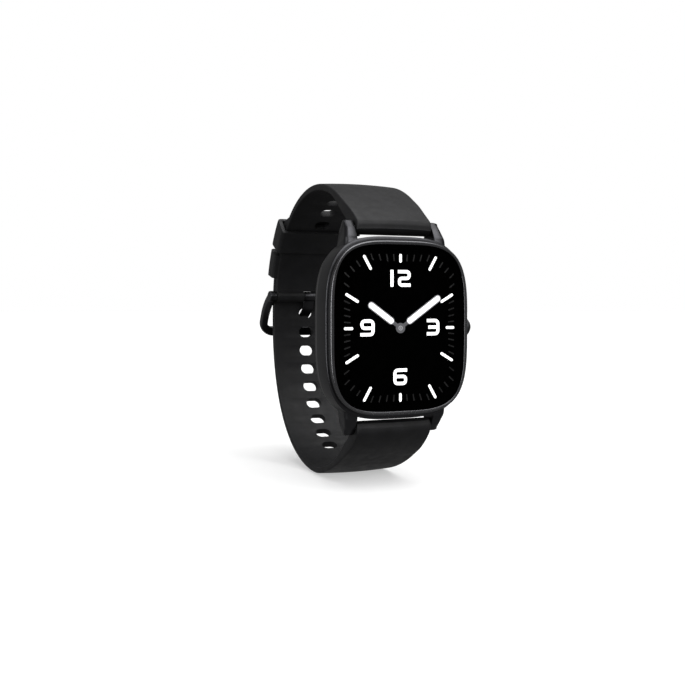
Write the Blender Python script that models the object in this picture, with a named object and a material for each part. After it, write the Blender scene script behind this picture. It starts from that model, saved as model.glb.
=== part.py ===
"""Smartwatch with a buckled silicone strap, built as an assembly of its separate pieces.

Frame: +X towards the crown, +Z towards 12 o'clock, the dial faces -Y and the strap loop lies at +Y.
The origin is the centre of the flat sensor face on the watch's back. Lengths below are millimetres.
"""
import math

import bmesh
import bpy
from mathutils import Matrix, Vector

MM = 0.001

# Driving dimensions
LUG_GAP = 22.5                 # standard strap size: the clear width between the lugs
STRAP_WIDTH = LUG_GAP - 0.5
CASE_WIDTH = 41.4
CASE_HEIGHT = 48.2
CASE_CORNER_POWER = 3.5        # superellipse exponent of the case outline
CORNER_POWER_GAIN = 0.3        # outlines get squarer by this much per millimetre of inset
END_STEP = 0.6                 # extra inset at 12 and 6 o'clock of everything inside the case wall
OUTLINE_POINTS = 64

# Depths, from the glass at the front to the sensor face at y = 0
GLASS_FRONT_Y = -12.2
GLASS_BACK_Y = -11.1
RING_FRONT_Y = -11.7
LIP_Y = -10.8
CASE_FRONT_Y = -9.6
CASE_BACK_Y = -1.3
COVER_BACK_Y = -0.35
GAP = 0.05                     # clearance between glued or nested pieces

# Insets of the nested outlines from the case outline
RING_INSET = 0.6
GLASS_INSET = 1.65
CAVITY_INSET = 1.8
TRAY_INSET = 2.1
LIP_INSET = 2.5
DISPLAY_INSET = 2.7
WALL = 0.8

# Lugs: the side profile as (y, z), and how the outer face spreads towards the case
LUG_PROFILE = [(-8.8, 23.9), (-7.4, 26.5), (-5.7, 28.2), (-4.4, 28.6), (-3.3, 28.0), (-2.8, 26.5)]
LUG_ROOT_Z = 20.0
LUG_OUTER_X = 13.9
LUG_FLARE_FROM_Z = 27.5        # below this height the outer face spreads towards the case
LUG_FLARE_TO_Z = 22.8
LUG_FLARE = 0.25
LUG_FRONT_Y = -9.1
LUG_BACK_Y = -2.6
LUG_MIDDLE_Y = -5.6
LUG_CHAMFER = 0.9

# Crown, on the +X side
CROWN_Y = -6.4
CROWN_RADIUS = 2.5
CROWN_BASE_X = 21.2
CROWN_TIP_X = 23.4
CROWN_BORE_RADIUS = 1.45
STEM_RADIUS = 0.75
PRESS_TRAVEL = 0.4

# Spring bars: one at each pair of lugs and one in the buckle
BAR_Y = -5.5
BAR_Z = 26.7
BAR_RADIUS = 0.75
BAR_BORE_RADIUS = 0.85
BAR_HALF_LENGTH = 10.7
TIP_RADIUS = 0.38
TIP_SOCKET_RADIUS = 0.45
TIP_END_X = 12.5
TIP_INNER_X = 8.2              # how far the sliding tips reach inwards
SOCKET_FROM_X = 10.0
SOCKET_SPARE = 0.15            # free depth beyond the tip in its socket
LEVER_X = -9.0

# Strap
SHORT_THICKNESS = 2.2
LONG_THICKNESS = 2.0
LAYER_GAP = 0.15
STRAP_CROWN = 0.4              # how much lower the outer face is at its edges
BOSS_OUTER = 3.0               # half thickness of the strap's end, outer and inner side
BOSS_INNER = 2.1
BOSS_CHAMFER = 0.45            # how fast the outer face drops towards the strap's end
STRAP_FLARE = 0.3              # the strap is wider by this on each side once clear of the lugs
STRAP_STEP = 2.6               # spacing of the sections along a strap
SHORT_HEADING = 49.8
SHORT_ARCS = ((59.0, 3.9), (34.5, 106.3), (58.0, 4.3), (25.0, 23.7))
KEEPER_ARC = 1                 # the arc that the free keeper slides on
LONG_HEADING = -71.8
LOOP_BOTTOM = (22.3, -42.4)    # lowest point of the long strap's centre line
FALL_REACH = (10.0, 6.2)       # handle lengths of the curve from the bar to the lowest point
RISE_REACH = (20.4, 38.2)      # and of the curve from there up to the buckle
HOLE_PITCH = 6.2
HOLE_WIDTH = 5.0
HOLE_LENGTH = 3.4
JOIN_BEFORE_PIN = 3.0          # where the long strap starts to follow the short one
TONGUE_HOLE_AFTER_JOIN = 8.92  # the hole that the tongue goes through
TAIL_LENGTH = 25.7
SHORT_HOLES_FROM_PIN = 26.7    # the short strap's first hole
HOLES_ON_SHORT = 3
HOLES_ON_TAIL = 4
HOLES_BELOW = 9
TIP_ROUNDING = 6.0
TAIL_TOP = SHORT_THICKNESS / 2 + LAYER_GAP + LONG_THICKNESS    # outer face of the tail
PIN_INSET = 0.6                # buckle pin's distance inside the short strap's centre line
PIN_HOUSING_RADIUS = 1.75

# Keepers and buckle
KEEPER_HALF_WIDTH = 13.0
KEEPER_SIDE_GAP = 0.25
FIXED_KEEPER = (6.2, 14.0)     # from and to, along the short strap, counted from the pin
FREE_KEEPER = (15.7, 24.2)
RAIL_X = 12.65
RAIL_WIDTH = 2.2
CROSSBAR_WIDTH = 3.0
RAIL_THICKNESS = 2.6
CROSSBAR_THICKNESS = 1.8
RAIL_SECTION = ((-1, -0.6), (-0.7, -1), (0.7, -1), (1, -0.6), (1, 0.6), (0.7, 1), (-0.7, 1), (-1, 0.6))
EYE_RADIUS = 1.8
EYE_END = 1.75
FRAME_HEADING = -22.0
FRAME_RADIUS = 16.5
FRAME_REACH = 17.2
FRAME_CORNER = 3.2
TONGUE_WIDTH = 3.6
TONGUE_THICKNESS = 0.7
TONGUE_REACH = 8.4
KNUCKLE_RADIUS = 1.6

# Inside and back
SCREW_PLACES = [(x, z) for x in (-13.2, 13.2) for z in (-17.3, 17.3)]
SCREW_RADIUS = 0.6
SCREW_HEAD_RADIUS = 1.1
SENSOR_RADIUS = 10.5
CONTACT_Z = -14.5
CONTACTS_X = (-2.6, 2.6)
CONTACT_RADIUS = 1.3
SPEAKER_SLOTS_Z = (-8.0, -10.0, -12.0)
MICROPHONE_Z = 5.5

# Colours: red, green, blue, roughness, metallic
GUNMETAL = (0.045, 0.045, 0.05, 0.32, 1.0)
DARK_RING = (0.03, 0.03, 0.033, 0.22, 1.0)
SILICONE = (0.022, 0.022, 0.024, 0.6, 0.0)
GLASS_BLACK = (0.004, 0.004, 0.005, 0.05, 0.0)
SCREEN = (0.006, 0.006, 0.008, 0.2, 0.0)
STEEL = (0.6, 0.6, 0.62, 0.3, 1.0)
GOLD = (0.8, 0.6, 0.25, 0.25, 1.0)
BOARD_GREEN = (0.02, 0.12, 0.06, 0.5, 0.0)
BLACK_PLASTIC = (0.02, 0.02, 0.02, 0.5, 0.0)
FOIL = (0.5, 0.5, 0.52, 0.4, 1.0)
RUBBER = (0.03, 0.03, 0.03, 0.8, 0.0)
LED_GREEN = (0.1, 0.6, 0.2, 0.3, 0.0)


# ---------------------------------------------------------------- Blender helpers

def clear_scene():
    for old in list(bpy.data.objects):
        bpy.data.objects.remove(old, do_unlink=True)


def material(name, look):
    mat = bpy.data.materials.new(name)
    mat.use_nodes = True
    shader = mat.node_tree.nodes["Principled BSDF"]
    shader.inputs["Base Color"].default_value = (*look[:3], 1.0)
    shader.inputs["Roughness"].default_value = look[3]
    shader.inputs["Metallic"].default_value = look[4]
    return mat


def empty(name, place, parent=None):
    mark = bpy.data.objects.new(name, None)
    bpy.context.collection.objects.link(mark)
    mark.location = Vector(place) * MM
    if parent:
        mark.parent = parent
        mark.location = Vector(place) * MM - parent.matrix_world.translation
    bpy.context.view_layer.update()
    return mark


def make(name, mesh, look, parent, smooth=35.0):
    """Turns a bmesh in world millimetres into an object whose origin is its parent's."""
    origin = parent.matrix_world.translation
    bmesh.ops.recalc_face_normals(mesh, faces=mesh.faces)
    bmesh.ops.scale(mesh, vec=(MM, MM, MM), verts=mesh.verts)
    bmesh.ops.translate(mesh, vec=-origin, verts=mesh.verts)
    data = bpy.data.meshes.new(name)
    mesh.to_mesh(data)
    mesh.free()
    data.shade_smooth()
    data.set_sharp_from_angle(angle=math.radians(smooth))
    data.materials.append(material(name, look))
    obj = bpy.data.objects.new(name, data)
    bpy.context.collection.objects.link(obj)
    obj.parent = parent
    return obj


def boolean(obj, meshes, operation):
    """Adds or removes the shapes in a list of bmeshes, through one hidden helper object each."""
    for number, mesh in enumerate(meshes):
        tool = make(f"{obj.name}_{operation.lower()}_{number}", mesh, RUBBER, obj.parent)
        tool.hide_render = True
        tool.display_type = "WIRE"
        step = obj.modifiers.new(tool.name, "BOOLEAN")
        step.operation = operation
        step.object = tool


def skin(mesh, loops, ring=False):
    """Joins equal-length point loops with quads; a ring closes on itself, else the ends get caps."""
    rows = [[mesh.verts.new(point) for point in loop] for loop in loops]
    pairs = list(zip(rows, rows[1:] + rows[:1])) if ring else list(zip(rows, rows[1:]))
    count = len(rows[0])
    for low, high in pairs:
        for i in range(count):
            j = (i + 1) % count
            mesh.faces.new((low[i], low[j], high[j], high[i]))
    if not ring:
        mesh.faces.new(rows[0])
        mesh.faces.new(rows[-1])
    return mesh


def box(low, high, mesh=None):
    mesh = mesh or bmesh.new()
    size = [b - a for a, b in zip(low, high)]
    middle = [(a + b) / 2 for a, b in zip(low, high)]
    place = Matrix.Translation(middle) @ Matrix.Diagonal((*size, 1.0))
    bmesh.ops.create_cube(mesh, size=1.0, matrix=place)
    return mesh


def turned(axis, centre, profile, count=24, ring=False):
    """A turned body: profile holds (distance along the axis, radius) pairs, from end to end."""
    loops = []
    for along, radius in profile:
        loop = []
        for i in range(count):
            turn = 2 * math.pi * i / count
            flat = (radius * math.cos(turn), radius * math.sin(turn))
            point = (along, *flat) if axis == "X" else (flat[0], along, flat[1])
            loop.append(Vector(point) + Vector(centre))
        loops.append(loop)
    return skin(bmesh.new(), loops, ring)


# ---------------------------------------------------------------- case outlines

def case_outline(inset, y):
    """The case's rounded-square outline, moved inwards and placed at depth y."""
    half_x = CASE_WIDTH / 2 - inset
    half_z = CASE_HEIGHT / 2 - inset - END_STEP * min(inset / RING_INSET, 1.0)
    power = 2.0 / (CASE_CORNER_POWER + CORNER_POWER_GAIN * inset)
    points = []
    for i in range(OUTLINE_POINTS):
        turn = 2 * math.pi * i / OUTLINE_POINTS
        c, s = math.cos(turn), math.sin(turn)
        x = half_x * math.copysign(abs(c) ** power, c)
        z = half_z * math.copysign(abs(s) ** power, s)
        points.append((x, y, z))
    return points


def case_edge_z(x):
    """Half height of the case outline at the given x."""
    share = (abs(x) / (CASE_WIDTH / 2)) ** CASE_CORNER_POWER
    return CASE_HEIGHT / 2 * (1.0 - share) ** (1.0 / CASE_CORNER_POWER)


def outline_body(steps, ring=False):
    return skin(bmesh.new(), [case_outline(inset, y) for inset, y in steps], ring)


# ---------------------------------------------------------------- strap paths

class Path:
    """A centre line in the YZ plane: points, headings in degrees and distance along it."""

    def __init__(self, points, headings, side):
        self.points = [Vector(p) for p in points]
        self.headings = headings
        self.side = side                   # +1 if the loop's outside is left of the heading
        self.along = [0.0]
        for a, b in zip(self.points, self.points[1:]):
            self.along.append(self.along[-1] + (b - a).length)
        self.length = self.along[-1]

    def at(self, s):
        """Point, travel direction and outward direction at distance s; straight past the ends."""
        i = 0
        while i < len(self.along) - 2 and self.along[i + 1] < s:
            i += 1
        span = self.along[i + 1] - self.along[i]
        share = (s - self.along[i]) / span
        held = min(max(share, 0.0), 1.0)
        heading = math.radians(self.headings[i] * (1 - held) + self.headings[i + 1] * held)
        ahead = Vector((math.cos(heading), math.sin(heading)))
        point = self.points[i].lerp(self.points[i + 1], held) + ahead * span * (share - held)
        outward = Vector((-ahead.y, ahead.x)) * self.side
        return point, ahead, outward

    def place(self, s, x, out):
        point, ahead, outward = self.at(s)
        flat = point + outward * out
        return (x, flat.x, flat.y)


def arc_points(start, heading, arcs, step=0.4):
    """Points and headings along arcs of (radius, degrees); positive degrees turn clockwise."""
    points, headings = [Vector(start)], [heading]
    for radius, turn in arcs:
        count = max(2, round(math.radians(abs(turn)) * radius / step))
        chord = 2 * radius * math.sin(math.radians(abs(turn) / count) / 2)
        for _ in range(count):
            middle = math.radians(headings[-1] - turn / count / 2)
            points.append(points[-1] + chord * Vector((math.cos(middle), math.sin(middle))))
            headings.append(headings[-1] - turn / count)
    return points, headings


def bezier_points(start, heading, reach, end, end_heading, end_reach, count=120):
    """Points and headings along a cubic curve, given by its ends, headings and handle lengths."""
    first, last = Vector(start), Vector(end)
    out = Vector((math.cos(math.radians(heading)), math.sin(math.radians(heading))))
    back = Vector((math.cos(math.radians(end_heading)), math.sin(math.radians(end_heading))))
    handles = [first, first + out * reach, last - back * end_reach, last]
    points, headings = [], []
    for i in range(count + 1):
        t = i / count
        u = 1 - t
        weights = (u ** 3, 3 * u * u * t, 3 * u * t * t, t ** 3)
        points.append(sum((h * w for h, w in zip(handles, weights)), Vector((0, 0))))
        slope = (handles[1] - handles[0]) * u * u + (handles[2] - handles[1]) * 2 * u * t
        slope += (handles[3] - handles[2]) * t * t
        headings.append(math.degrees(math.atan2(slope.y, slope.x)))
    return points, headings


def short_path():
    points, headings = arc_points((BAR_Y, BAR_Z), SHORT_HEADING, SHORT_ARCS)
    return Path(points, headings, side=1)


def long_path(short):
    """From the lower spring bar round the back, then outside the short strap to the tail's tip."""
    offset = (SHORT_THICKNESS + LONG_THICKNESS) / 2 + LAYER_GAP
    tail_points, tail_headings = [], []
    steps = 60
    for i in range(steps + 1):
        s = short.length - JOIN_BEFORE_PIN - TAIL_LENGTH * i / steps
        point, ahead, outward = short.at(s)
        tail_points.append(point + outward * offset)
        tail_headings.append(math.degrees(math.atan2(-ahead.y, -ahead.x)) % 360)
    rise_points, rise_headings = bezier_points(
        LOOP_BOTTOM, 0.0, RISE_REACH[0], tail_points[0], tail_headings[0], RISE_REACH[1])
    fall_points, fall_headings = bezier_points(
        (BAR_Y, -BAR_Z), LONG_HEADING, FALL_REACH[0], LOOP_BOTTOM, 0.0, FALL_REACH[1])
    points = fall_points + rise_points[1:] + tail_points[1:]
    headings = fall_headings + rise_headings[1:] + tail_headings[1:]
    path = Path(points, headings, side=-1)
    return path, path.along[len(fall_points) + len(rise_points) - 2]


SHORT = short_path()
LONG, JOIN_S = long_path(SHORT)


def from_pin(s):
    """Distance along the short strap for a place counted back from the buckle pin."""
    return SHORT.length - s


def pin_centre():
    point, ahead, outward = SHORT.at(SHORT.length)
    return point - outward * PIN_INSET


PIN = pin_centre()


# ---------------------------------------------------------------- strap bodies

def ease(value):
    held = min(max(value, 0.0), 1.0)
    return held * held * (3 - 2 * held)


def end_boss(s, thickness):
    """Outer and inner half thickness near the spring bar, where the strap swells to a boss."""
    half = thickness / 2
    if s < 0:
        inner = math.sqrt(max(BOSS_INNER ** 2 - s * s, 0.25))
        return BOSS_OUTER + BOSS_CHAMFER * s, inner
    outer = half + (BOSS_OUTER - half) * max(1 - s / 13, 0) ** 1.5
    inner = half + (BOSS_INNER - half) * ease((20 - s) / 12)
    return outer, inner


def half_width_at(s):
    return STRAP_WIDTH / 2 + STRAP_FLARE * ease((s - 3.0) / 7.0)


def strap_section(path, s, half_width, outer, inner):
    """One cross section: flat inside, crowned outside, with broken edges."""
    edge = 0.35
    drop = min(STRAP_CROWN, outer * 0.5)
    shape = [(1.0, -inner + edge), (1.0, outer - drop - edge)]
    shape += [(x, outer - drop * x * x) for x in (0.96, 0.6, 0.2, -0.2, -0.6, -0.96)]
    shape += [(-1.0, outer - drop - edge), (-1.0, -inner + edge), (-0.96, -inner), (0.96, -inner)]
    return [path.place(s, x * half_width, out) for x, out in shape]


def hole_cutter(path, s):
    """A pill-shaped punch through a strap, square to its face."""
    point, ahead, outward = path.at(s)
    radius = HOLE_LENGTH / 2
    straight = HOLE_WIDTH / 2 - radius
    loops = []
    for depth in (-2.5, 2.5):
        loop = []
        for i in range(12):
            turn = math.radians(15 + 30 * i)
            x = math.copysign(straight, math.cos(turn)) + radius * math.cos(turn)
            flat = point + ahead * radius * math.sin(turn) + outward * depth
            loop.append((x, flat.x, flat.y))
        loops.append(loop)
    return skin(bmesh.new(), loops)


def bore_cutter(centre, radius, half_length):
    return turned("X", (0, *centre), [(-half_length, radius), (half_length, radius)], 16)


def tip_socket(way, centre):
    """The blind hole that holds one sliding tip of a spring bar."""
    ends = [(way * SOCKET_FROM_X, TIP_SOCKET_RADIUS)]
    ends.append((way * (TIP_END_X + SOCKET_SPARE), TIP_SOCKET_RADIUS))
    return turned("X", (0, *centre), ends, 12)


def lever_slot(path, low_x, high_x, width, near, far):
    """The cut from a spring bar towards the wrist, in which a release lever slides."""
    point, ahead, outward = path.at(0)
    loops = []
    for depth in (near, far):
        corners = ((low_x, -1), (high_x, -1), (high_x, 1), (low_x, 1))
        flats = [(x, point + ahead * width / 2 * way - outward * depth) for x, way in corners]
        loops.append([(x, flat.x, flat.y) for x, flat in flats])
    return skin(bmesh.new(), loops)


def short_strap(parent):
    half_width = half_width_at(SHORT.length)
    loops = []
    count = round((SHORT.length - 1) / STRAP_STEP)
    places = [-2.0, -1.2, 0.3] + [1 + (SHORT.length - 1) * i / count for i in range(count + 1)]
    for s in places:
        outer, inner = end_boss(s, SHORT_THICKNESS)
        loops.append(strap_section(SHORT, s, half_width_at(s), outer, inner))
    strap = make("short_strap", skin(bmesh.new(), loops), SILICONE, parent)
    ends = [(-half_width, PIN_HOUSING_RADIUS), (half_width, PIN_HOUSING_RADIUS)]
    housing = turned("X", (0, *PIN), ends)
    boolean(strap, [housing, fixed_keeper()], "UNION")
    half = TONGUE_WIDTH / 2 + KEEPER_SIDE_GAP
    top = PIN.y + KNUCKLE_RADIUS + GAP
    tongue_notch = box((-half, PIN.x - 2.5, PIN.y - 3.5), (half, PIN.x + 2.5, top))
    places = [from_pin(SHORT_HOLES_FROM_PIN + HOLE_PITCH * i) for i in range(HOLES_ON_SHORT)]
    cuts = [hole_cutter(SHORT, s) for s in places]
    cuts.append(bore_cutter((BAR_Y, BAR_Z), BAR_BORE_RADIUS, LUG_GAP))
    cuts.append(bore_cutter(PIN, BAR_BORE_RADIUS, LUG_GAP))
    cuts.append(lever_slot(SHORT, LEVER_X - 0.7, LEVER_X + 2.0, 1.2, 0.0, 3.5))
    cuts.append(tongue_notch)
    boolean(strap, cuts, "DIFFERENCE")


def arch_section(top, wide, clear, root):
    """Half-open arch in (x, out): outer side right to left, then the inner side back."""
    outer = [(root, -0.9), (wide - 0.7, -0.9), (wide, -0.2), (wide, top + 0.5), (wide - 1.0, top + 1.4)]
    inner = [(root, 0.5), (clear, 0.5), (clear, top + LAYER_GAP)]
    section = outer + [(-x, out) for x, out in reversed(outer)]
    return section + [(-x, out) for x, out in inner] + list(reversed(inner))


def fixed_keeper():
    """The keeper that is moulded on the short strap: an arch over the tail, joined to the edges."""
    low, high = FIXED_KEEPER
    clear = STRAP_WIDTH / 2 + STRAP_FLARE + KEEPER_SIDE_GAP
    section = arch_section(TAIL_TOP, KEEPER_HALF_WIDTH, clear, STRAP_WIDTH / 2 - 0.5)
    loops = []
    for i in range(5):
        s = from_pin(low + (high - low) * i / 4)
        loops.append([SHORT.place(s, x, out) for x, out in section])
    return skin(bmesh.new(), loops)


def long_strap(parent):
    loops = []
    count = round((LONG.length - 3.0) / STRAP_STEP)
    places = [-2.0, -1.2, 0.3] + [1 + (LONG.length - 3.0) * i / count for i in range(count + 1)]
    places += [LONG.length - 1.0, LONG.length - 0.3]
    for s in places:
        outer, inner = end_boss(s, LONG_THICKNESS)
        left = min(LONG.length - s, TIP_ROUNDING)
        half_width = half_width_at(s) - TIP_ROUNDING
        half_width += math.sqrt(TIP_ROUNDING ** 2 - (TIP_ROUNDING - left) ** 2)
        loops.append(strap_section(LONG, s, half_width, outer, inner))
    strap = make("long_strap", skin(bmesh.new(), loops), SILICONE, parent)
    first = JOIN_S - TONGUE_HOLE_AFTER_JOIN
    cuts = [hole_cutter(LONG, first - HOLE_PITCH * i) for i in range(-HOLES_ON_TAIL, HOLES_BELOW)]
    cuts.append(bore_cutter((BAR_Y, -BAR_Z), BAR_BORE_RADIUS, LUG_GAP))
    cuts.append(lever_slot(LONG, LEVER_X - 0.7, LEVER_X + 2.0, 1.2, 0.0, 3.5))
    boolean(strap, cuts, "DIFFERENCE")


def free_keeper(parent):
    """A flat band round both straps, curved like the arc of the strap that it slides on."""
    low, high = FREE_KEEPER
    floor = -SHORT_THICKNESS / 2 - LAYER_GAP
    top = TAIL_TOP + LAYER_GAP
    clear, wide = STRAP_WIDTH / 2 + STRAP_FLARE + KEEPER_SIDE_GAP, KEEPER_HALF_WIDTH
    hole = [(clear, floor), (clear, top), (-clear, top), (-clear, floor)]
    inner, outer = [], []
    for x, out in hole:
        way, lift = math.copysign(1, x), math.copysign(1, out)
        base = top + 1.1 if out > 0 else floor - 1.1
        corner = [(way * (wide - 0.9), base), (way * wide, base - lift * 0.9)]
        outer += corner if x * out < 0 else corner[::-1]
        inner += [(x, out - lift * 0.3), (x - way * 0.3, out)] if x * out > 0 else []
        inner += [(x - way * 0.3, out), (x, out - lift * 0.3)] if x * out < 0 else []
    band = bmesh.new()
    rows = []
    for section in (outer, inner):
        for i in range(5):
            s = from_pin(low + (high - low) * (i if section is outer else 4 - i) / 4)
            rows.append([SHORT.place(s, x, out) for x, out in section])
    make("free_keeper", skin(band, rows, ring=True), SILICONE, parent)


# ---------------------------------------------------------------- spring bars and buckle

def spring_bar(name, centre, parent, lever_path=None):
    """A tube with two sliding tips; a strap's bar also has a lever that pulls one tip in."""
    bore = [(-BAR_HALF_LENGTH, BAR_RADIUS), (BAR_HALF_LENGTH, BAR_RADIUS)]
    bore += [(BAR_HALF_LENGTH, TIP_SOCKET_RADIUS), (-BAR_HALF_LENGTH, TIP_SOCKET_RADIUS)]
    tube = make(f"{name}_spring_bar", turned("X", (0, *centre), bore, 16, ring=True), STEEL, parent)
    if lever_path:
        slot = lever_slot(lever_path, LEVER_X - 0.5, LEVER_X + 1.75, 0.9, 0.0, 1.5)
        boolean(tube, [slot], "DIFFERENCE")
    for side, way in (("left", -1), ("right", 1)):
        body = empty(f"{name}_tip_{side}_slide", (way * TIP_END_X, *centre), parent)
        ends = [(way * TIP_INNER_X, TIP_RADIUS), (way * (TIP_END_X - 0.2), TIP_RADIUS)]
        ends.append((way * TIP_END_X, 0.25))
        make(f"{name}_tip_{side}", turned("X", (0, *centre), ends, 12), STEEL, body)
        if lever_path and side == "left":
            release_lever(f"{name}_release_lever", lever_path, body)


def release_lever(name, path, parent):
    """A square post on the sliding tip, with a thumb pad on the wrist side of the strap."""
    point, ahead, outward = path.at(0)
    loops = []
    post, pad = (0.35, 0.35), (0.6, 0.5)
    for depth, (half_x, half) in ((TIP_RADIUS + GAP, post), (2.4, post), (2.5, pad), (3.1, pad)):
        corners = ((-half_x, -half), (half_x, -half), (half_x, half), (-half_x, half))
        flats = [(LEVER_X + x, point + ahead * way - outward * depth) for x, way in corners]
        loops.append([(x, flat.x, flat.y) for x, flat in flats])
    make(name, skin(bmesh.new(), loops), STEEL, parent)


def frame_path():
    turn = math.degrees(FRAME_REACH / FRAME_RADIUS)
    points, headings = arc_points(PIN, FRAME_HEADING, ((FRAME_RADIUS, turn),))
    return Path(points, headings, side=1)


def buckle_frame(parent):
    """A U of two rails and a crossbar, bent along an arc; its open end turns on the buckle pin."""
    path = frame_path()
    eye = [EYE_END * share for share in (-1.0, -0.8, -0.4, 0.4, 0.8, 1.0)]
    stations = [(-RAIL_X, s, 90.0, RAIL_WIDTH) for s in eye + [4.5, 7.5, 10.5]]
    last = FRAME_REACH - FRAME_CORNER - CROSSBAR_WIDTH / 2
    for i in range(6):
        turn = 90.0 - 18.0 * i
        width = RAIL_WIDTH + (CROSSBAR_WIDTH - RAIL_WIDTH) * i / 5
        x = -RAIL_X + FRAME_CORNER * (1 - math.sin(math.radians(turn)))
        stations.append((x, last + FRAME_CORNER * math.cos(math.radians(turn)), turn, width))
    stations += [(-x, s, -turn, width) for x, s, turn, width in reversed(stations)]
    loops = []
    for x, s, turn, width in stations:
        half = (CROSSBAR_THICKNESS + (RAIL_THICKNESS - CROSSBAR_THICKNESS) * abs(turn) / 90.0) / 2
        if s <= EYE_END and abs(turn) == 90.0:
            half = max(math.sqrt(max(EYE_RADIUS ** 2 - s * s, 0.1)), half if s > 0 else 0.3)
        side = (math.cos(math.radians(turn)), math.sin(math.radians(turn)))
        loop = []
        for wide, out in RAIL_SECTION:
            shift = wide * width / 2
            loop.append(path.place(s + shift * side[0], x - shift * side[1], out * half))
        loops.append(loop)
    frame = make("buckle_frame", skin(bmesh.new(), loops), GUNMETAL, parent)
    boolean(frame, [tip_socket(way, PIN) for way in (-1, 1)], "DIFFERENCE")


def tongue_path():
    points, headings = arc_points(PIN + Vector((0.1, -1.2)), -88.0, ((4.4, -55.0),))
    return Path(points, headings, side=1)


def buckle_tongue(parent):
    """A flat prong, hooked round the pin, through the strap's hole and onto the crossbar."""
    path = tongue_path()
    half, thick = TONGUE_WIDTH / 2, TONGUE_THICKNESS / 2
    places = [-0.9] + [path.length * i / 4 for i in range(5)] + [path.length + TONGUE_REACH]
    loops = []
    for s in places:
        shape = ((-half, -thick), (half, -thick), (half, thick), (-half, thick))
        loops.append([path.place(s, x, out) for x, out in shape])
    tongue = make("buckle_tongue", skin(bmesh.new(), loops), GUNMETAL, parent)
    knuckle = turned("X", (0, *PIN), [(-half, KNUCKLE_RADIUS), (half, KNUCKLE_RADIUS)], 20)
    boolean(tongue, [knuckle], "UNION")
    boolean(tongue, [bore_cutter(PIN, BAR_BORE_RADIUS, 4.0)], "DIFFERENCE")


# ---------------------------------------------------------------- case and covers

def lug(way_x, way_z):
    """One lug: a side profile rooted in the case wall, with a chamfered outer face."""
    loops = []
    for inset, share in ((0.0, 0.0), (0.0, 0.72), (LUG_CHAMFER, 1.0)):
        loop = []
        for y, z in [(LUG_FRONT_Y, 0.0)] + LUG_PROFILE + [(LUG_BACK_Y, 0.0)]:
            height = max(z or LUG_ROOT_Z, LUG_FLARE_TO_Z)
            outer_x = LUG_OUTER_X + max(LUG_FLARE_FROM_Z - height, 0.0) * LUG_FLARE
            x = LUG_GAP / 2 + (outer_x - LUG_GAP / 2) * share
            y += max(-inset, min(inset, LUG_MIDDLE_Y - y))
            top = z - inset * 0.5 if z else case_edge_z(x) - CAVITY_INSET / 2
            loop.append((way_x * x, y, way_z * top))
        loops.append(loop)
    return skin(bmesh.new(), loops)


def slot_boxes():
    """Speaker slots and, further up the same wall, the microphone's hole."""
    inside, outside = 17.4, CASE_WIDTH / 2 + 0.5
    cuts = [box((inside, -7.2, z - 0.4), (outside, -5.2, z + 0.4)) for z in SPEAKER_SLOTS_Z]
    ends = [(inside, 0.45), (outside, 0.45)]
    cuts.append(turned("X", (0, CROWN_Y, MICROPHONE_Z), ends, 10))
    return cuts


def case_frame(parent):
    steps = [(CAVITY_INSET, CASE_FRONT_Y), (0.35, CASE_FRONT_Y), (0.0, CASE_FRONT_Y + 0.35),
             (0.0, LUG_BACK_Y), (0.45, CASE_BACK_Y), (CAVITY_INSET, CASE_BACK_Y)]
    frame = make("case_frame", outline_body(steps, ring=True), GUNMETAL, parent)
    boolean(frame, [lug(x, z) for x in (-1, 1) for z in (-1, 1)], "UNION")
    cuts = [turned("X", (0, CROWN_Y, 0), [(17.0, CROWN_BORE_RADIUS), (22.0, CROWN_BORE_RADIUS)])]
    cuts += [tip_socket(way, (BAR_Y, z)) for z in (BAR_Z, -BAR_Z) for way in (1, -1)]
    boolean(frame, cuts + slot_boxes(), "DIFFERENCE")


def front_parts(parent):
    ring = [(RING_INSET, CASE_FRONT_Y - GAP), (RING_INSET, -10.7), (0.8, -11.35), (1.15, RING_FRONT_Y),
            (GLASS_INSET - GAP, RING_FRONT_Y + 0.1), (GLASS_INSET - GAP, LIP_Y), (LIP_INSET, LIP_Y),
            (LIP_INSET, CASE_FRONT_Y - GAP)]
    make("bezel_ring", outline_body(ring, ring=True), DARK_RING, parent)
    glass = [(GLASS_INSET, GLASS_BACK_Y), (GLASS_INSET, -11.6), (GLASS_INSET + 0.3, -11.95),
             (GLASS_INSET + 1.3, GLASS_FRONT_Y)]
    make("cover_glass", outline_body(glass), GLASS_BLACK, parent)
    seal = [(GLASS_INSET + 0.1, GLASS_BACK_Y + GAP), (GLASS_INSET + 0.1, LIP_Y - GAP),
            (LIP_INSET - 0.1, LIP_Y - GAP), (LIP_INSET - 0.1, GLASS_BACK_Y + GAP)]
    make("glass_gasket", outline_body(seal, ring=True), RUBBER, parent)
    panel = [(DISPLAY_INSET, GLASS_BACK_Y + GAP), (DISPLAY_INSET, -9.5)]
    make("display_panel", outline_body(panel), SCREEN, parent)


def inner_frame(parent):
    """A tray behind the display that carries everything inside; open to the back."""
    tray = [(TRAY_INSET, -9.2), (TRAY_INSET, -2.3),
            (TRAY_INSET + WALL, -2.3), (TRAY_INSET + WALL, -8.4)]
    frame = make("inner_frame", outline_body(tray), BLACK_PLASTIC, parent)
    boolean(frame, screw_shapes(SCREW_RADIUS + 1.0, -8.5, -2.3), "UNION")
    cuts = [box((12.5, -8.2, -3.4), (20.0, -2.0, 3.4)), box((-6.0, -9.5, 17.5), (6.0, -8.2, 18.9))]
    cuts += screw_shapes(SCREW_RADIUS + GAP, -6.0, -2.0)
    boolean(frame, cuts + slot_boxes(), "DIFFERENCE")


def screw_shapes(radius, low_y, high_y):
    return [turned("Y", (x, 0, z), [(low_y, radius), (high_y, radius)], 12) for x, z in SCREW_PLACES]


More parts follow.
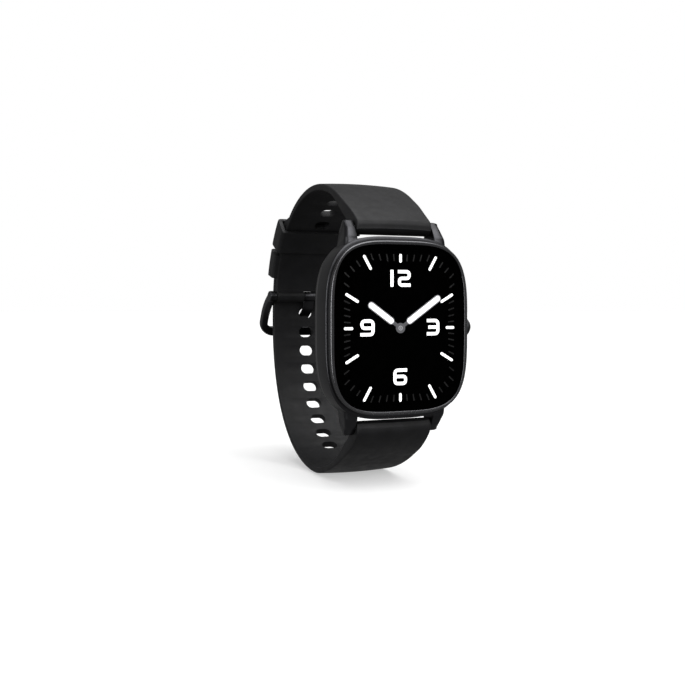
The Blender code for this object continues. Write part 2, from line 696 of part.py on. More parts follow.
def back_parts(parent):
    cover = [(1.1, COVER_BACK_Y), (0.6, COVER_BACK_Y - 0.4), (0.6, CASE_BACK_Y + GAP),
             (TRAY_INSET, CASE_BACK_Y + GAP), (TRAY_INSET, -2.0), (TRAY_INSET + WALL, -2.0),
             (TRAY_INSET + WALL, CASE_BACK_Y + GAP)]
    back = make("back_cover", outline_body(cover), BLACK_PLASTIC, parent)
    cuts = [turned("Y", (0, 0, 0), [(-2.5, SENSOR_RADIUS + GAP), (1.0, SENSOR_RADIUS + GAP)], 40)]
    cuts += screw_shapes(SCREW_RADIUS + GAP, -3.0, 0.5)
    cuts += screw_shapes(SCREW_HEAD_RADIUS + GAP, -0.85, 0.5)
    contact_hole = [(-2.5, CONTACT_RADIUS + GAP), (1.0, CONTACT_RADIUS + GAP)]
    cuts += [turned("Y", (x, 0, CONTACT_Z), contact_hole, 16) for x in CONTACTS_X]
    boolean(back, cuts, "DIFFERENCE")
    window = [(CASE_BACK_Y + GAP, SENSOR_RADIUS), (COVER_BACK_Y, SENSOR_RADIUS),
              (0.0, SENSOR_RADIUS - 0.6)]
    make("sensor_window", turned("Y", (0, 0, 0), window, 40), GLASS_BLACK, parent)
    seal = [(TRAY_INSET - 0.25, -1.9), (TRAY_INSET - 0.25, -1.4), (TRAY_INSET - GAP, -1.4),
            (TRAY_INSET - GAP, -1.9)]
    make("back_gasket", outline_body(seal, ring=True), RUBBER, parent)
    for number, (x, z) in enumerate(SCREW_PLACES, 1):
        profile = [(-5.8, SCREW_RADIUS), (-0.8, SCREW_RADIUS), (-0.8, SCREW_HEAD_RADIUS),
                   (COVER_BACK_Y, SCREW_HEAD_RADIUS)]
        make(f"back_screw_{number}", turned("Y", (x, 0, z), profile, 16), STEEL, parent)
    for side, x in zip(("left", "right"), CONTACTS_X):
        profile = [(-2.4, CONTACT_RADIUS), (COVER_BACK_Y, CONTACT_RADIUS)]
        make(f"charge_contact_{side}", turned("Y", (x, 0, CONTACT_Z), profile, 16), GOLD, parent)


# ---------------------------------------------------------------- crown and electronics

def crown(parent):
    """The knob presses a plunger against a switch, and turns on it."""
    tube = [(18.4, 1.4), (20.7, 1.4), (20.7, 0.85), (18.4, 0.85)]
    make("crown_tube", turned("X", (0, CROWN_Y, 0), tube, 24, ring=True), STEEL, parent)
    seal = [(17.7, 1.3), (18.3, 1.3), (18.3, 0.8), (17.7, 0.8)]
    make("crown_seal", turned("X", (0, CROWN_Y, 0), seal, 24, ring=True), RUBBER, parent)
    make("crown_switch", box((14.0, CROWN_Y - 1.6, -1.6), (16.0, CROWN_Y + 1.6, 1.6)), FOIL, parent)
    press = empty("crown_press", (CROWN_BASE_X, CROWN_Y, 0), parent)
    plunger = [(16.0 + PRESS_TRAVEL + GAP, 1.0), (16.95, 1.0)]
    make("crown_plunger", turned("X", (0, CROWN_Y, 0), plunger), BLACK_PLASTIC, press)
    spin = empty("crown_turn", (CROWN_BASE_X, CROWN_Y, 0), press)
    stem = [(17.0, STEM_RADIUS), (CROWN_BASE_X + 1.0, STEM_RADIUS)]
    make("crown_stem", turned("X", (0, CROWN_Y, 0), stem), STEEL, spin)
    hollow = STEM_RADIUS + GAP
    knob = [(CROWN_BASE_X + 1.0 + GAP, hollow), (CROWN_BASE_X, hollow),
            (CROWN_BASE_X, CROWN_RADIUS - 0.15), (CROWN_BASE_X + 0.2, CROWN_RADIUS),
            (CROWN_TIP_X - 1.0, CROWN_RADIUS),
            (CROWN_TIP_X - 0.2, CROWN_RADIUS - 0.9), (CROWN_TIP_X, CROWN_RADIUS - 1.3)]
    make("crown_knob", turned("X", (0, CROWN_Y, 0), knob, 32), GUNMETAL, spin)


def electronics(parent):
    blocks = {
        "battery": ((-16.0, -8.1, -15.3), (7.5, -4.0, 5.0), FOIL),
        "main_board": ((-15.0, -8.1, 6.0), (6.5, -7.3, 15.3), BOARD_GREEN),
        "processor_shield": ((-9.0, -7.2, 7.5), (3.0, -5.9, 14.8), FOIL),
        "display_flex": ((-5.0, -9.4, 17.7), (5.0, -7.0, 18.0), GOLD),
        "speaker": ((9.0, -7.9, -15.0), (16.0, -4.6, -5.5), BLACK_PLASTIC),
        "microphone": ((14.0, -7.4, 4.2), (17.2, -5.6, 6.8), FOIL),
        "sensor_board": ((-8.0, -3.6, -8.0), (8.0, -3.0, 8.0), BOARD_GREEN),
        "sensor_led_upper": ((-1.5, -2.95, 4.0), (1.5, -2.0, 5.6), LED_GREEN),
        "sensor_led_lower": ((-1.5, -2.95, -5.6), (1.5, -2.0, -4.0), LED_GREEN),
        "photodiode_left": ((-6.2, -2.95, -1.4), (-3.4, -2.0, 1.4), BLACK_PLASTIC),
        "photodiode_right": ((3.4, -2.95, -1.4), (6.2, -2.0, 1.4), BLACK_PLASTIC),
    }
    for name, (low, high, look) in blocks.items():
        make(name, box(low, high), look, parent)
    motor = turned("Y", (12.0, 0, 11.5), [(-8.1, 4.0), (-5.4, 4.0)], 32)
    make("vibration_motor", motor, STEEL, parent)


def main():
    clear_scene()
    watch = empty("watch", (0, 0, 0))
    case_frame(watch)
    front_parts(watch)
    inner_frame(watch)
    back_parts(watch)
    electronics(watch)
    crown(watch)
    short_strap(watch)
    long_strap(watch)
    point, ahead, outward = SHORT.at(from_pin(FREE_KEEPER[0]))
    arc_centre = point - outward * SHORT_ARCS[KEEPER_ARC][0]
    free_keeper(empty("keeper_slide", (0, *arc_centre), watch))
    spring_bar("upper", (BAR_Y, BAR_Z), watch, SHORT)
    spring_bar("lower", (BAR_Y, -BAR_Z), watch, LONG)
    spring_bar("buckle", PIN, watch)
    buckle_frame(empty("buckle_swing", (0, *PIN), watch))
    buckle_tongue(empty("tongue_swing", (0, *PIN), watch))


main()
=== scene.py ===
"""Looks of the smartwatch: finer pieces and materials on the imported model, a pale floor and soft light.

Shapes are worked out in millimetres in the model's own frame and scaled to metres when a mesh is made.
"""
import math

import bmesh
import bpy
from mathutils import Euler, Matrix, Vector


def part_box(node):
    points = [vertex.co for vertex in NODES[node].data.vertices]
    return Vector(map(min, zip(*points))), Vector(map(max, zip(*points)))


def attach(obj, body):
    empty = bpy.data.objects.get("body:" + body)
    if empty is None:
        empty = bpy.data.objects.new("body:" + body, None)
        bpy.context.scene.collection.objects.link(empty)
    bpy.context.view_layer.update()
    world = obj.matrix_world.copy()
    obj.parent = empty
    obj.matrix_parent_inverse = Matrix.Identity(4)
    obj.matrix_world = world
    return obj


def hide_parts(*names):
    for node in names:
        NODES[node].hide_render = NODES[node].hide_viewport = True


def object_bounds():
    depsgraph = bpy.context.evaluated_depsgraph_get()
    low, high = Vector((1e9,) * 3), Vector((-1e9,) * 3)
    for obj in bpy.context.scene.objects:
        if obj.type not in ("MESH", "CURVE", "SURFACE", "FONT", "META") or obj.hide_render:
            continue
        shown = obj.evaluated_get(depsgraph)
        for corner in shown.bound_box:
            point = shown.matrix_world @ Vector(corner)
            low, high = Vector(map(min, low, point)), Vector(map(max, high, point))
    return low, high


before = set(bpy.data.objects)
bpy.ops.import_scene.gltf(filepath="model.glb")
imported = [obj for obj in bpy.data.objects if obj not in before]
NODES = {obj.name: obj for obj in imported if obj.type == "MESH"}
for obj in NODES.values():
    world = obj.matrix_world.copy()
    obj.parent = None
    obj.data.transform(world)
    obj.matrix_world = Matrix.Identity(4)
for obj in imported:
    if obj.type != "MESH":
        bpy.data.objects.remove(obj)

CAD_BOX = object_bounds()
MM = 0.001


def box_mm(node):
    low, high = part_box(node)
    return low / MM, high / MM


def middle_mm(node):
    low, high = box_mm(node)
    return (low + high) / 2


# Sizes read from the frame
CASE_HIGH = box_mm("case_frame")[1]
CASE_HALF_X = CASE_HIGH.x
RING_LOW, RING_HIGH = box_mm("bezel_ring")
GLASS_LOW, GLASS_HIGH = box_mm("cover_glass")
SCREEN_LOW = box_mm("display_panel")[0]
SENSOR_LOW, SENSOR_HIGH = box_mm("sensor_window")
BAR = middle_mm("upper_spring_bar")
PIN = middle_mm("buckle_spring_bar").yz
CROWN = middle_mm("crown_stem")
KNOB_LOW, KNOB_HIGH = box_mm("crown_knob")
STRAP_HALF = box_mm("long_strap")[1].x
KEEPER_HALF = box_mm("free_keeper")[1].x

# Case
RING_INSET = 0.6               # from the case outline to the bezel ring
END_STEP = 0.6                 # and this much more at 12 and 6 o'clock
CASE_HALF_Z = RING_HIGH.z + RING_INSET + END_STEP
CASE_CORNER_POWER = 3.5
CORNER_POWER_GAIN = 0.3
OUTLINE_POINTS = 192
CASE_FRONT_Y = -9.6
LIP_Y = -10.8
CAVITY_INSET = 1.8
LIP_INSET = 2.5
GLASS_INSET = 1.65
BORDER_INSET = 2.9
CROWN_BORE_RADIUS = 1.45
SPEAKER_SLOTS_Z = (-8.0, -10.0, -12.0)
MICROPHONE_Z = 5.5
LUG_INNER_X = 11.25
LUG_REAR_Y = -2.7
LUG_ROOT_Z = 20.0
LUG_OUTER_X = 13.9
LUG_FLARE_FROM_Z = 27.5        # below this height the outer face spreads towards the case
LUG_FLARE_TO_Z = 22.8
LUG_FLARE = 0.25
LUG_MIDDLE_Y = -5.7

# Strap, the same lines as the CAD straps
SHORT_THICKNESS = 2.2
LONG_THICKNESS = 2.0
LAYER_GAP = 0.15
STRAP_CROWN = 0.4
BOSS_OUTER = 3.0
BOSS_INNER = 2.1
BOSS_CHAMFER = 0.45
STRAP_FLARE = 0.3
STRAP_STEP = 0.8
SHORT_HEADING = 49.8
SHORT_ARCS = ((59.0, 3.9), (34.5, 106.3), (58.0, 4.3), (25.0, 23.7))
LONG_HEADING = -71.8
LOOP_BOTTOM = (22.3, -42.4)
FALL_REACH = (10.0, 6.2)
RISE_REACH = (20.4, 38.2)
HOLE_PITCH = 6.2
HOLE_WIDTH = 5.0
HOLE_LENGTH = 3.4
SHORT_HOLES_FROM_PIN = 26.7
HOLES_ON_SHORT = 3
HOLES_ON_TAIL = 4
HOLES_BELOW = 9
JOIN_BEFORE_PIN = 3.0
TONGUE_HOLE_AFTER_JOIN = 8.92
TAIL_LENGTH = 25.7
TIP_ROUNDING = 6.0
TAIL_TOP = SHORT_THICKNESS / 2 + LAYER_GAP + LONG_THICKNESS
PIN_HOUSING_RADIUS = 1.75
BAR_BORE_RADIUS = 0.85
BORE_REACH = 22.0              # half length of the bore cutters, past both edges of the strap
TIP_SOCKET_RADIUS = 0.45
SOCKET_END_X = 12.65
FIXED_KEEPER = (6.2, 14.0)
FREE_KEEPER = (15.7, 24.2)
KEEPER_CLEAR = STRAP_HALF + 0.25
LEVER_X = -9.0

# Buckle
RAIL_X = 12.65
RAIL_WIDTH = 2.2
CROSSBAR_WIDTH = 3.0
RAIL_THICKNESS = 2.6
CROSSBAR_THICKNESS = 1.8
EYE_RADIUS = 1.8
EYE_END = 1.75
FRAME_HEADING = -22.0
FRAME_RADIUS = 16.5
FRAME_REACH = 17.2
FRAME_CORNER = 3.2
TONGUE_WIDTH = 3.6
TONGUE_THICKNESS = 0.7
TONGUE_REACH = 8.4
KNUCKLE_RADIUS = 1.6

# Stage
ROOM_GLOW = 0.2
FLOOR_GLOW = 0.45
SOFT_BOX_LIGHT = 1.9
SOFT_BOX_ANGLE = 60.0

# Dial
HOUR_MARK_WIDTH = 0.74
MINUTE_MARK_WIDTH = 0.4
MINUTE_MARK_LENGTH = 1.9
STROKE = 0.88
GLYPH_HEIGHT = 4.4
DIAL_HALF_X = 16.2
DIAL_HALF_Z = 19.35
DIAL_REACH = 21.6              # the marks in the corners stop at this distance from the hub
HAND_WIDTH = 1.9
HAND_START = 2.4


# ---------------------------------------------------------------- mesh helpers

def make(name, mesh, mat, body, smooth=38.0):
    """Turns a bmesh in millimetres into a finished piece that rides on a body."""
    bmesh.ops.recalc_face_normals(mesh, faces=mesh.faces)
    bmesh.ops.scale(mesh, vec=(MM, MM, MM), verts=mesh.verts)
    data = bpy.data.meshes.new(name)
    mesh.to_mesh(data)
    mesh.free()
    data.shade_smooth()
    data.set_sharp_from_angle(angle=math.radians(smooth))
    if mat:
        data.materials.append(mat)
    obj = bpy.data.objects.new(name, data)
    bpy.context.scene.collection.objects.link(obj)
    if body:
        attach(obj, body)
    return obj


def bake(obj, smooth=38.0):
    """Replaces the mesh by what its modifiers give, and drops them."""
    graph = bpy.context.evaluated_depsgraph_get()
    data = bpy.data.meshes.new_from_object(obj.evaluated_get(graph))
    obj.modifiers.clear()
    obj.data = data
    data.shade_smooth()
    data.set_sharp_from_angle(angle=math.radians(smooth))


def boolean(obj, meshes, operation):
    """Adds or cuts the shapes of a list of bmeshes, one after the other, then bakes the result."""
    tools = []
    for number, mesh in enumerate(meshes):
        tool = make(f"{obj.name}_tool_{number}", mesh, None, None)
        tools.append(tool)
        step = obj.modifiers.new(f"cut_{number}", "BOOLEAN")
        step.operation = operation
        step.object = tool
    bake(obj)
    for tool in tools:
        bpy.data.objects.remove(tool)


def soften(obj, width, angle=40.0, segments=3, smooth=45.0):
    """Rounds every edge sharper than the angle, by a width in millimetres."""
    step = obj.modifiers.new("soften", "BEVEL")
    step.width = width * MM
    step.segments = segments
    step.limit_method = "ANGLE"
    step.angle_limit = math.radians(angle)
    step.use_clamp_overlap = True
    step.harden_normals = False
    bake(obj, smooth)


def skin(mesh, loops, ring=False):
    """Joins equal-length point loops with quads; a ring closes on itself, else the ends get caps."""
    rows = [[mesh.verts.new(point) for point in loop] for loop in loops]
    pairs = list(zip(rows, rows[1:] + rows[:1])) if ring else list(zip(rows, rows[1:]))
    count = len(rows[0])
    for low, high in pairs:
        for i in range(count):
            j = (i + 1) % count
            mesh.faces.new((low[i], low[j], high[j], high[i]))
    if not ring:
        mesh.faces.new(rows[0])
        mesh.faces.new(rows[-1])
    return mesh


def fillet(corners, steps=5):
    """Rounds a closed polygon; each corner is (a, b, radius), and radius 0 keeps it sharp."""
    points = []
    count = len(corners)
    for i, (a, b, radius) in enumerate(corners):
        here = Vector((a, b))
        if radius <= 0:
            points.append(here)
            continue
        before = Vector(corners[i - 1][:2]) - here
        after = Vector(corners[(i + 1) % count][:2]) - here
        angle = max(before.angle(after), 0.05)
        reach = min(radius / math.tan(angle / 2), 0.48 * before.length, 0.48 * after.length)
        start = here + before.normalized() * reach
        end = here + after.normalized() * reach
        for k in range(steps + 1):
            t = k / steps
            points.append(start * (1 - t) ** 2 + here * 2 * t * (1 - t) + end * t * t)
    return points


def turned(axis, centre, profile, count=48, ring=False):
    """A turned body: profile holds (distance along the axis, radius) pairs, from end to end."""
    loops = []
    for along, radius in profile:
        loop = []
        for i in range(count):
            turn = 2 * math.pi * i / count
            flat = (radius * math.cos(turn), radius * math.sin(turn))
            point = (along, *flat) if axis == "X" else (flat[0], along, flat[1])
            loop.append(Vector(point) + Vector(centre))
        loops.append(loop)
    return skin(bmesh.new(), loops, ring)


def box(low, high):
    mesh = bmesh.new()
    size = [b - a for a, b in zip(low, high)]
    middle = [(a + b) / 2 for a, b in zip(low, high)]
    place = Matrix.Translation(middle) @ Matrix.Diagonal((*size, 1.0))
    bmesh.ops.create_cube(mesh, size=1.0, matrix=place)
    return mesh


# ---------------------------------------------------------------- materials

def new_material(name, colour, roughness, metallic=0.0, gloss=0.5):
    mat = bpy.data.materials.new(name)
    mat.use_nodes = True
    shader = mat.node_tree.nodes["Principled BSDF"]
    shader.inputs["Base Color"].default_value = (*colour, 1.0)
    shader.inputs["Roughness"].default_value = roughness
    shader.inputs["Metallic"].default_value = metallic
    shader.inputs["Specular IOR Level"].default_value = gloss
    return mat, shader


def noise(mat, scale, detail=3.0):
    """A noise texture in the model's own coordinates, in metres."""
    nodes, links = mat.node_tree.nodes, mat.node_tree.links
    coords = nodes.new("ShaderNodeTexCoord")
    texture = nodes.new("ShaderNodeTexNoise")
    texture.inputs["Scale"].default_value = scale
    texture.inputs["Detail"].default_value = detail
    links.new(coords.outputs["Object"], texture.inputs["Vector"])
    return texture.outputs["Fac"]


def spread(mat, factor, low, high, socket):
    """Maps a 0 to 1 factor to a range of a shader number."""
    node = mat.node_tree.nodes.new("ShaderNodeMapRange")
    node.inputs["From Min"].default_value = 0.3
    node.inputs["From Max"].default_value = 0.7
    node.inputs["To Min"].default_value = low
    node.inputs["To Max"].default_value = high
    mat.node_tree.links.new(factor, node.inputs["Value"])
    mat.node_tree.links.new(node.outputs["Result"], socket)


def tint(mat, factor, dark, light, socket):
    """Blends two colours by a factor."""
    node = mat.node_tree.nodes.new("ShaderNodeValToRGB")
    node.color_ramp.elements[0].position = 0.3
    node.color_ramp.elements[0].color = (*dark, 1.0)
    node.color_ramp.elements[1].position = 0.7
    node.color_ramp.elements[1].color = (*light, 1.0)
    mat.node_tree.links.new(factor, node.inputs["Fac"])
    mat.node_tree.links.new(node.outputs["Color"], socket)


def relief(mat, shader, factor, depth, strength=1.0):
    """Bump from a factor, with its depth in millimetres."""
    node = mat.node_tree.nodes.new("ShaderNodeBump")
    node.inputs["Strength"].default_value = strength
    node.inputs["Distance"].default_value = depth * MM
    mat.node_tree.links.new(factor, node.inputs["Height"])
    mat.node_tree.links.new(node.outputs["Normal"], shader.inputs["Normal"])


def silicone():
    """Matt black moulded silicone with a very fine grain and faint handling marks."""
    mat, shader = new_material("black_silicone", (0.012, 0.012, 0.013), 0.5, gloss=0.2)
    dark, light = (0.009, 0.009, 0.0095), (0.0135, 0.0135, 0.0145)
    tint(mat, noise(mat, 260.0, 4.0), dark, light, shader.inputs["Base Color"])
    spread(mat, noise(mat, 420.0, 5.0), 0.42, 0.56, shader.inputs["Roughness"])
    relief(mat, shader, noise(mat, 9000.0, 2.0), 0.012, 0.5)
    shader.inputs["Sheen Weight"].default_value = 0.02
    shader.inputs["Sheen Roughness"].default_value = 0.4
    return mat


def coated_metal(name, colour, roughness, grain=0.05):
    """Dark vapour-coated metal: even colour, fine grain and slightly uneven gloss."""
    mat, shader = new_material(name, colour, roughness, 1.0)
    light = [c * 1.18 for c in colour]
    tint(mat, noise(mat, 180.0, 3.0), colour, light, shader.inputs["Base Color"])
    low, high = roughness - grain, roughness + grain
    spread(mat, noise(mat, 2500.0), low, high, shader.inputs["Roughness"])
    relief(mat, shader, noise(mat, 7000.0, 2.0), 0.003, 0.2)
    return mat


def plain_finish(name, dark, light, rough, metallic=0.0, depth=0.006, gloss=0.5):
    """Any other solid finish: mottled colour, uneven gloss and a fine surface."""
    mat, shader = new_material(name, dark, rough[0], metallic, gloss)
    tint(mat, noise(mat, 360.0), dark, light, shader.inputs["Base Color"])
    spread(mat, noise(mat, 900.0), *rough, shader.inputs["Roughness"])
    relief(mat, shader, noise(mat, 5400.0, 2.0), depth, 0.5)
    return mat


def clear_glass():
    """Anti-glare cover glass: clear with a faint dark tint, and no reflections of the room."""
    mat, shader = new_material("cover_glass_clear", (0.0, 0.0, 0.0), 0.04)
    shader.inputs["Alpha"].default_value = 0.06
    shader.inputs["Specular IOR Level"].default_value = 0.0
    spread(mat, noise(mat, 300.0), 0.25, 0.3, shader.inputs["Roughness"])
    return mat


def lit_ink(name, colour):
    """A lit part of the display: an almost even glow with a very fine grain."""
    mat, shader = new_material(name, colour, 0.4)
    low = [c * 0.94 for c in colour]
    tint(mat, noise(mat, 6000.0, 2.0), low, colour, shader.inputs["Emission Color"])
    shader.inputs["Emission Strength"].default_value = 1.0
    return mat


SILICONE = silicone()
CASE_METAL = coated_metal("case_coating", (0.045, 0.045, 0.048), 0.34)
RING_METAL = coated_metal("ring_coating", (0.11, 0.11, 0.115), 0.25, 0.03)
BUCKLE_METAL = coated_metal("buckle_coating", (0.045, 0.045, 0.048), 0.36)
GLASS = clear_glass()
WHITE_INK = lit_ink("display_white", (1.0, 1.0, 1.0))
GREY_INK = lit_ink("display_grey", (0.22, 0.22, 0.23))
HUB_INK = lit_ink("display_dark_grey", (0.06, 0.06, 0.064))
FAINT_INK = lit_ink("display_faint", (0.0007, 0.0007, 0.0008))
SCREEN_BLACK = plain_finish(
    "display_black", (0.0004,) * 3, (0.0007,) * 3, (0.5, 0.6), depth=0.0005, gloss=0.0)
BLACK_PLASTIC = plain_finish("black_plastic", (0.012,) * 3, (0.018,) * 3, (0.38, 0.52))
LENS_BLACK = plain_finish("sensor_lens_black", (0.004,) * 3, (0.006,) * 3, (0.05, 0.09), depth=0.001)
STEEL = plain_finish("bright_steel", (0.52, 0.52, 0.54), (0.62, 0.62, 0.64), (0.2, 0.34), 1.0)
GOLD = plain_finish("gold_plate", (0.72, 0.52, 0.2), (0.83, 0.62, 0.28), (0.18, 0.3), 1.0)
FOIL = plain_finish("metal_foil", (0.42, 0.42, 0.44), (0.55, 0.55, 0.57), (0.3, 0.45), 1.0)
BOARD = plain_finish("board_green", (0.012, 0.09, 0.04), (0.02, 0.13, 0.06), (0.35, 0.5))
SEAL = plain_finish("seal_rubber", (0.02,) * 3, (0.03,) * 3, (0.7, 0.85))
LED = plain_finish("led_green", (0.06, 0.4, 0.12), (0.1, 0.55, 0.18), (0.2, 0.3))


# ---------------------------------------------------------------- outlines of the case

def case_outline(inset, y, count=OUTLINE_POINTS):
    half_x = CASE_HALF_X - inset
    half_z = CASE_HALF_Z - inset - END_STEP * min(inset / RING_INSET, 1.0)
    power = 2.0 / (CASE_CORNER_POWER + CORNER_POWER_GAIN * inset)
    points = []
    for i in range(count):
        turn = 2 * math.pi * i / count
        c, s = math.cos(turn), math.sin(turn)
        x = half_x * math.copysign(abs(c) ** power, c)
        z = half_z * math.copysign(abs(s) ** power, s)
        points.append((x, y, z))
    return points


def case_edge_z(x):
    share = (abs(x) / CASE_HALF_X) ** CASE_CORNER_POWER
    return CASE_HALF_Z * (1.0 - share) ** (1.0 / CASE_CORNER_POWER)


def outline_body(corners, ring=False, steps=5):
    """A body from a section of (inset, y, radius) corners swept round the case outline."""
    section = fillet(corners, steps) if ring else [Vector(c[:2]) for c in corners]
    return skin(bmesh.new(), [case_outline(p.x, p.y) for p in section], ring)


# ---------------------------------------------------------------- strap lines

class Path:
    """A centre line in the YZ plane: points, headings in degrees and distance along it."""

    def __init__(self, points, headings, side):
        self.points = [Vector(p) for p in points]
        self.headings = headings
        self.side = side
        self.along = [0.0]
        for a, b in zip(self.points, self.points[1:]):
            self.along.append(self.along[-1] + (b - a).length)
        self.length = self.along[-1]

    def at(self, s):
        """Point, travel direction and outward direction at distance s; straight past the ends."""
        i = 0
        while i < len(self.along) - 2 and self.along[i + 1] < s:
            i += 1
        share = (s - self.along[i]) / (self.along[i + 1] - self.along[i])
        held = min(max(share, 0.0), 1.0)
        heading = math.radians(self.headings[i] * (1 - held) + self.headings[i + 1] * held)
        ahead = Vector((math.cos(heading), math.sin(heading)))
        span = self.along[i + 1] - self.along[i]
        point = self.points[i].lerp(self.points[i + 1], held) + ahead * span * (share - held)
        return point, ahead, Vector((-ahead.y, ahead.x)) * self.side

    def place(self, s, x, out):
        point, ahead, outward = self.at(s)
        flat = point + outward * out
        return (x, flat.x, flat.y)


def arc_points(start, heading, arcs, step=0.4):
    """Points and headings along arcs of (radius, degrees); positive degrees turn clockwise."""
    points, headings = [Vector(start)], [heading]
    for radius, turn in arcs:
        count = max(2, round(math.radians(abs(turn)) * radius / step))
        chord = 2 * radius * math.sin(math.radians(abs(turn) / count) / 2)
        for _ in range(count):
            middle = math.radians(headings[-1] - turn / count / 2)
            points.append(points[-1] + chord * Vector((math.cos(middle), math.sin(middle))))
            headings.append(headings[-1] - turn / count)
    return points, headings


def bezier_points(start, heading, reach, end, end_heading, end_reach, count=120):
    """Points and headings along a cubic curve, given by its ends, headings and handle lengths."""
    first, last = Vector(start), Vector(end)
    out = Vector((math.cos(math.radians(heading)), math.sin(math.radians(heading))))
    back = Vector((math.cos(math.radians(end_heading)), math.sin(math.radians(end_heading))))
    handles = [first, first + out * reach, last - back * end_reach, last]
    points, headings = [], []
    for i in range(count + 1):
        t = i / count
        u = 1 - t
        weights = (u ** 3, 3 * u * u * t, 3 * u * t * t, t ** 3)
        points.append(sum((h * w for h, w in zip(handles, weights)), Vector((0, 0))))
        slope = (handles[1] - handles[0]) * u * u + (handles[2] - handles[1]) * 2 * u * t
        slope += (handles[3] - handles[2]) * t * t
        headings.append(math.degrees(math.atan2(slope.y, slope.x)))
    return points, headings


def short_path():
    points, headings = arc_points((BAR.y, BAR.z), SHORT_HEADING, SHORT_ARCS)
    return Path(points, headings, side=1)


def long_path(short):
    """From the lower spring bar round the back, then outside the short strap to the tail's tip."""
    offset = (SHORT_THICKNESS + LONG_THICKNESS) / 2 + LAYER_GAP
    tail_points, tail_headings = [], []
    steps = 60
    for i in range(steps + 1):
        s = short.length - JOIN_BEFORE_PIN - TAIL_LENGTH * i / steps
        point, ahead, outward = short.at(s)
        tail_points.append(point + outward * offset)
        tail_headings.append(math.degrees(math.atan2(-ahead.y, -ahead.x)) % 360)
    rise_points, rise_headings = bezier_points(
        LOOP_BOTTOM, 0.0, RISE_REACH[0], tail_points[0], tail_headings[0], RISE_REACH[1])
    fall_points, fall_headings = bezier_points(
        (BAR.y, -BAR.z), LONG_HEADING, FALL_REACH[0], LOOP_BOTTOM, 0.0, FALL_REACH[1])
    points = fall_points + rise_points[1:] + tail_points[1:]
    headings = fall_headings + rise_headings[1:] + tail_headings[1:]
    path = Path(points, headings, side=-1)
    return path, path.along[len(fall_points) + len(rise_points) - 2]


SHORT = short_path()
LONG, JOIN_S = long_path(SHORT)


def from_pin(s):
    """Distance along the short strap for a place counted back from the buckle pin."""
    return SHORT.length - s


# ---------------------------------------------------------------- strap pieces

def ease(value):
    held = min(max(value, 0.0), 1.0)
    return held * held * (3 - 2 * held)


def end_boss(s, thickness):
    """Outer and inner half thickness near the spring bar, where the strap swells to a boss."""
    half = thickness / 2
    if s < 0:
        inner = math.sqrt(max(BOSS_INNER ** 2 - s * s, 0.25))
        return BOSS_OUTER + BOSS_CHAMFER * s, inner
    outer = half + (BOSS_OUTER - half) * max(1 - s / 13, 0) ** 1.5
    inner = half + (BOSS_INNER - half) * ease((20 - s) / 12)
    return outer, inner


def half_width_at(s):
    return STRAP_HALF - STRAP_FLARE * (1.0 - ease((s - 3.0) / 7.0))


def strap_section(path, s, half_width, outer, inner):
    """One cross section: flat inside, crowned outside, with rounded edges."""
    drop = min(STRAP_CROWN, outer * 0.5)
    round_off = min(0.55, (outer - drop + inner) * 0.4)
    corners = [(-1, -inner, 0.35), (1, -inner, 0.35), (1, outer - drop, round_off)]
    corners += [(x / 8, outer - drop * (x / 8) ** 2, 0) for x in range(7, -8, -1)]
    corners += [(-1, outer - drop, round_off)]
    shape = fillet([(x * half_width, out, radius) for x, out, radius in corners])
    return [path.place(s, p.x, p.y) for p in shape]


def strap_body(path, thickness, last, tip):
    """The strap without holes; a tip gets its rounded plan and thinner end."""
    count = round((last - 0.4) / STRAP_STEP)
    places = [-2.0, -1.8, -1.4, -0.9, -0.3, 0.3]
    places += [0.5 + (last - 0.5) * i / count for i in range(count + 1)]
    if tip:
        places += [last + 0.6 * k / 6 for k in range(1, 7)]
    loops = []
    for s in places:
        outer, inner = end_boss(s, thickness)
        half_width = half_width_at(s)
        if tip:
            left = min(max(path.length - s, 0.0), TIP_ROUNDING)
            half_width += math.sqrt(max(TIP_ROUNDING ** 2 - (TIP_ROUNDING - left) ** 2, 0.0)) - TIP_ROUNDING
            thin = 1 - 0.35 * (1 - min(left, 0.6) / 0.6) ** 2
            outer, inner = outer * thin, inner * thin
        if s < -1.7:
            outer, inner = outer * 0.8, inner * 0.8
        loops.append(strap_section(path, s, half_width, outer, inner))
    return skin(bmesh.new(), loops)


def hole_cutter(path, s):
    """A pill-shaped punch through a strap, square to its face."""
    point, ahead, outward = path.at(s)
    radius = HOLE_LENGTH / 2
    straight = HOLE_WIDTH / 2 - radius
    loops = []
    for depth in (-2.5, 2.5):
        loop = []
        for i in range(32):
            turn = 2 * math.pi * (i + 0.5) / 32
            x = math.copysign(straight, math.cos(turn)) + radius * math.cos(turn)
            flat = point + ahead * radius * math.sin(turn) + outward * depth
            loop.append((x, flat.x, flat.y))
        loops.append(loop)
    return skin(bmesh.new(), loops)


def bore_cutter(centre, radius, half_length):
    return turned("X", (0, *centre), [(-half_length, radius), (half_length, radius)], 32)


def tip_socket(way, centre):
    """The blind hole that holds one sliding tip of a spring bar."""
    ends = [(way * 10.0, TIP_SOCKET_RADIUS), (way * SOCKET_END_X, TIP_SOCKET_RADIUS)]
    return turned("X", (0, *centre), ends, 24)


def lever_slot(path, low_x, high_x, width, near, far):
    """The cut from a spring bar towards the wrist, in which a release lever slides."""
    point, ahead, outward = path.at(0)
    loops = []
    for depth in (near, far):
        corners = ((low_x, -1), (high_x, -1), (high_x, 1), (low_x, 1))
        flats = [(x, point + ahead * width / 2 * way - outward * depth) for x, way in corners]
        loops.append([(x, flat.x, flat.y) for x, flat in flats])
    return skin(bmesh.new(), loops)


